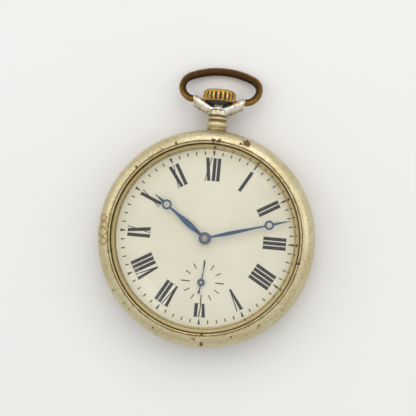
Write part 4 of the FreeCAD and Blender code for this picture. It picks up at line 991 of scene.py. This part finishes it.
def stage():
    """The sheet under the watch."""
    mesh = bmesh.new()
    bmesh.ops.create_grid(mesh, x_segments=1, y_segments=1, size=3.0)
    data = mesh_data("floor", mesh)
    data.materials.append(paper())
    floor = linked("floor", data)
    floor.location = (0, 0, -FLOOR_DROP)


def facing(place, back, side):
    """A place and a turn: local Z along back, and local X as near to side as it can be."""
    side = (side - back * side.dot(back)).normalized()
    turn = Matrix((side, back.cross(side), back)).transposed().to_4x4()
    return Matrix.Translation(place) @ turn


def lamp(name, place, power, length, width, along=(1, 0, 0)):
    """An elliptical lamp that faces the watch, in metres and watts. Its length lies as near to along as
    it can."""
    data = bpy.data.lights.new(name, "AREA")
    data.shape = "ELLIPSE"
    data.size = length
    data.size_y = width
    data.energy = power
    data.color = (1.0, 0.99, 0.97)
    linked(name, data).matrix_world = facing(Vector(place), Vector(place).normalized(), Vector(along))


def light():
    """A pale room, brighter above, with three soft lamps and the faint streaks."""
    world = bpy.data.worlds.new("studio")
    bpy.context.scene.world = world
    world.use_nodes = True
    tree = world.node_tree
    place = tree.nodes.new("ShaderNodeTexCoord")
    lean = tree.nodes.new("ShaderNodeVectorMath")
    lean.operation = "DOT_PRODUCT"
    lean.inputs[1].default_value = (0.10, 0.42, 0.90)
    spread = tree.nodes.new("ShaderNodeMapRange")
    spread.interpolation_type = "SMOOTHSTEP"
    for socket, value in (("From Min", -0.6), ("From Max", 1.0), ("To Min", 0.59), ("To Max", 0.90)):
        spread.inputs[socket].default_value = value
    path = tree.nodes.new("ShaderNodeLightPath")
    seen = tree.nodes.new("ShaderNodeMix")
    seen.data_type = "FLOAT"
    seen.inputs[3].default_value = 0.88
    links = tree.links
    links.new(place.outputs["Generated"], lean.inputs[0])
    links.new(lean.outputs["Value"], spread.inputs["Value"])
    links.new(path.outputs["Is Camera Ray"], seen.inputs[0])
    links.new(spread.outputs[0], seen.inputs[2])
    links.new(seen.outputs[0], tree.nodes["Background"].inputs["Strength"])
    tree.nodes["Background"].inputs["Color"].default_value = rgb(1.0, 0.995, 0.985)
    lamp("key", (0.06, 0.36, 0.42), 0.71, 0.50, 0.50)
    lamp("right", (0.42, 0.12, 0.30), 0.19, 0.24, 0.24)
    lamp("left", (-0.40, 0.14, 0.34), 0.24, 0.30, 0.30)
    for share in GLINT_SHARES:
        for place, length in GLINTS:
            lamp("glint", place, GLINT_POWER * share ** 2 * length, length * share, GLINT_WIDTH * share,
                 (1, -1, 0))


def camera():
    """A long lens almost straight above the dial."""
    turn = math.radians(PICTURE_TURN)
    up = Vector((-math.sin(turn), math.cos(turn), 0))
    right = Vector((math.cos(turn), math.sin(turn), 0))
    target = up * TARGET[1] * MM + right * TARGET[0] * MM + Vector((0, 0, TARGET[2] * MM))
    away = right * math.tan(math.radians(SEEN_FROM_RIGHT)) - up * math.tan(math.radians(SEEN_FROM_BELOW))
    away = (away + Vector((0, 0, 1))).normalized()
    data = bpy.data.cameras.new("camera")
    data.sensor_width = 36.0
    data.lens = LENS
    data.clip_start = 0.01
    made = linked("camera", data)
    made.matrix_world = facing(target + away * CAMERA_DISTANCE, away, up.cross(away))
    bpy.context.scene.camera = made


camera()
movement()
case()
neck()
yoke()
crown()
bow()
dial_print()
hands()
stage()
light()
bpy.context.scene.view_settings.view_transform = "Standard"
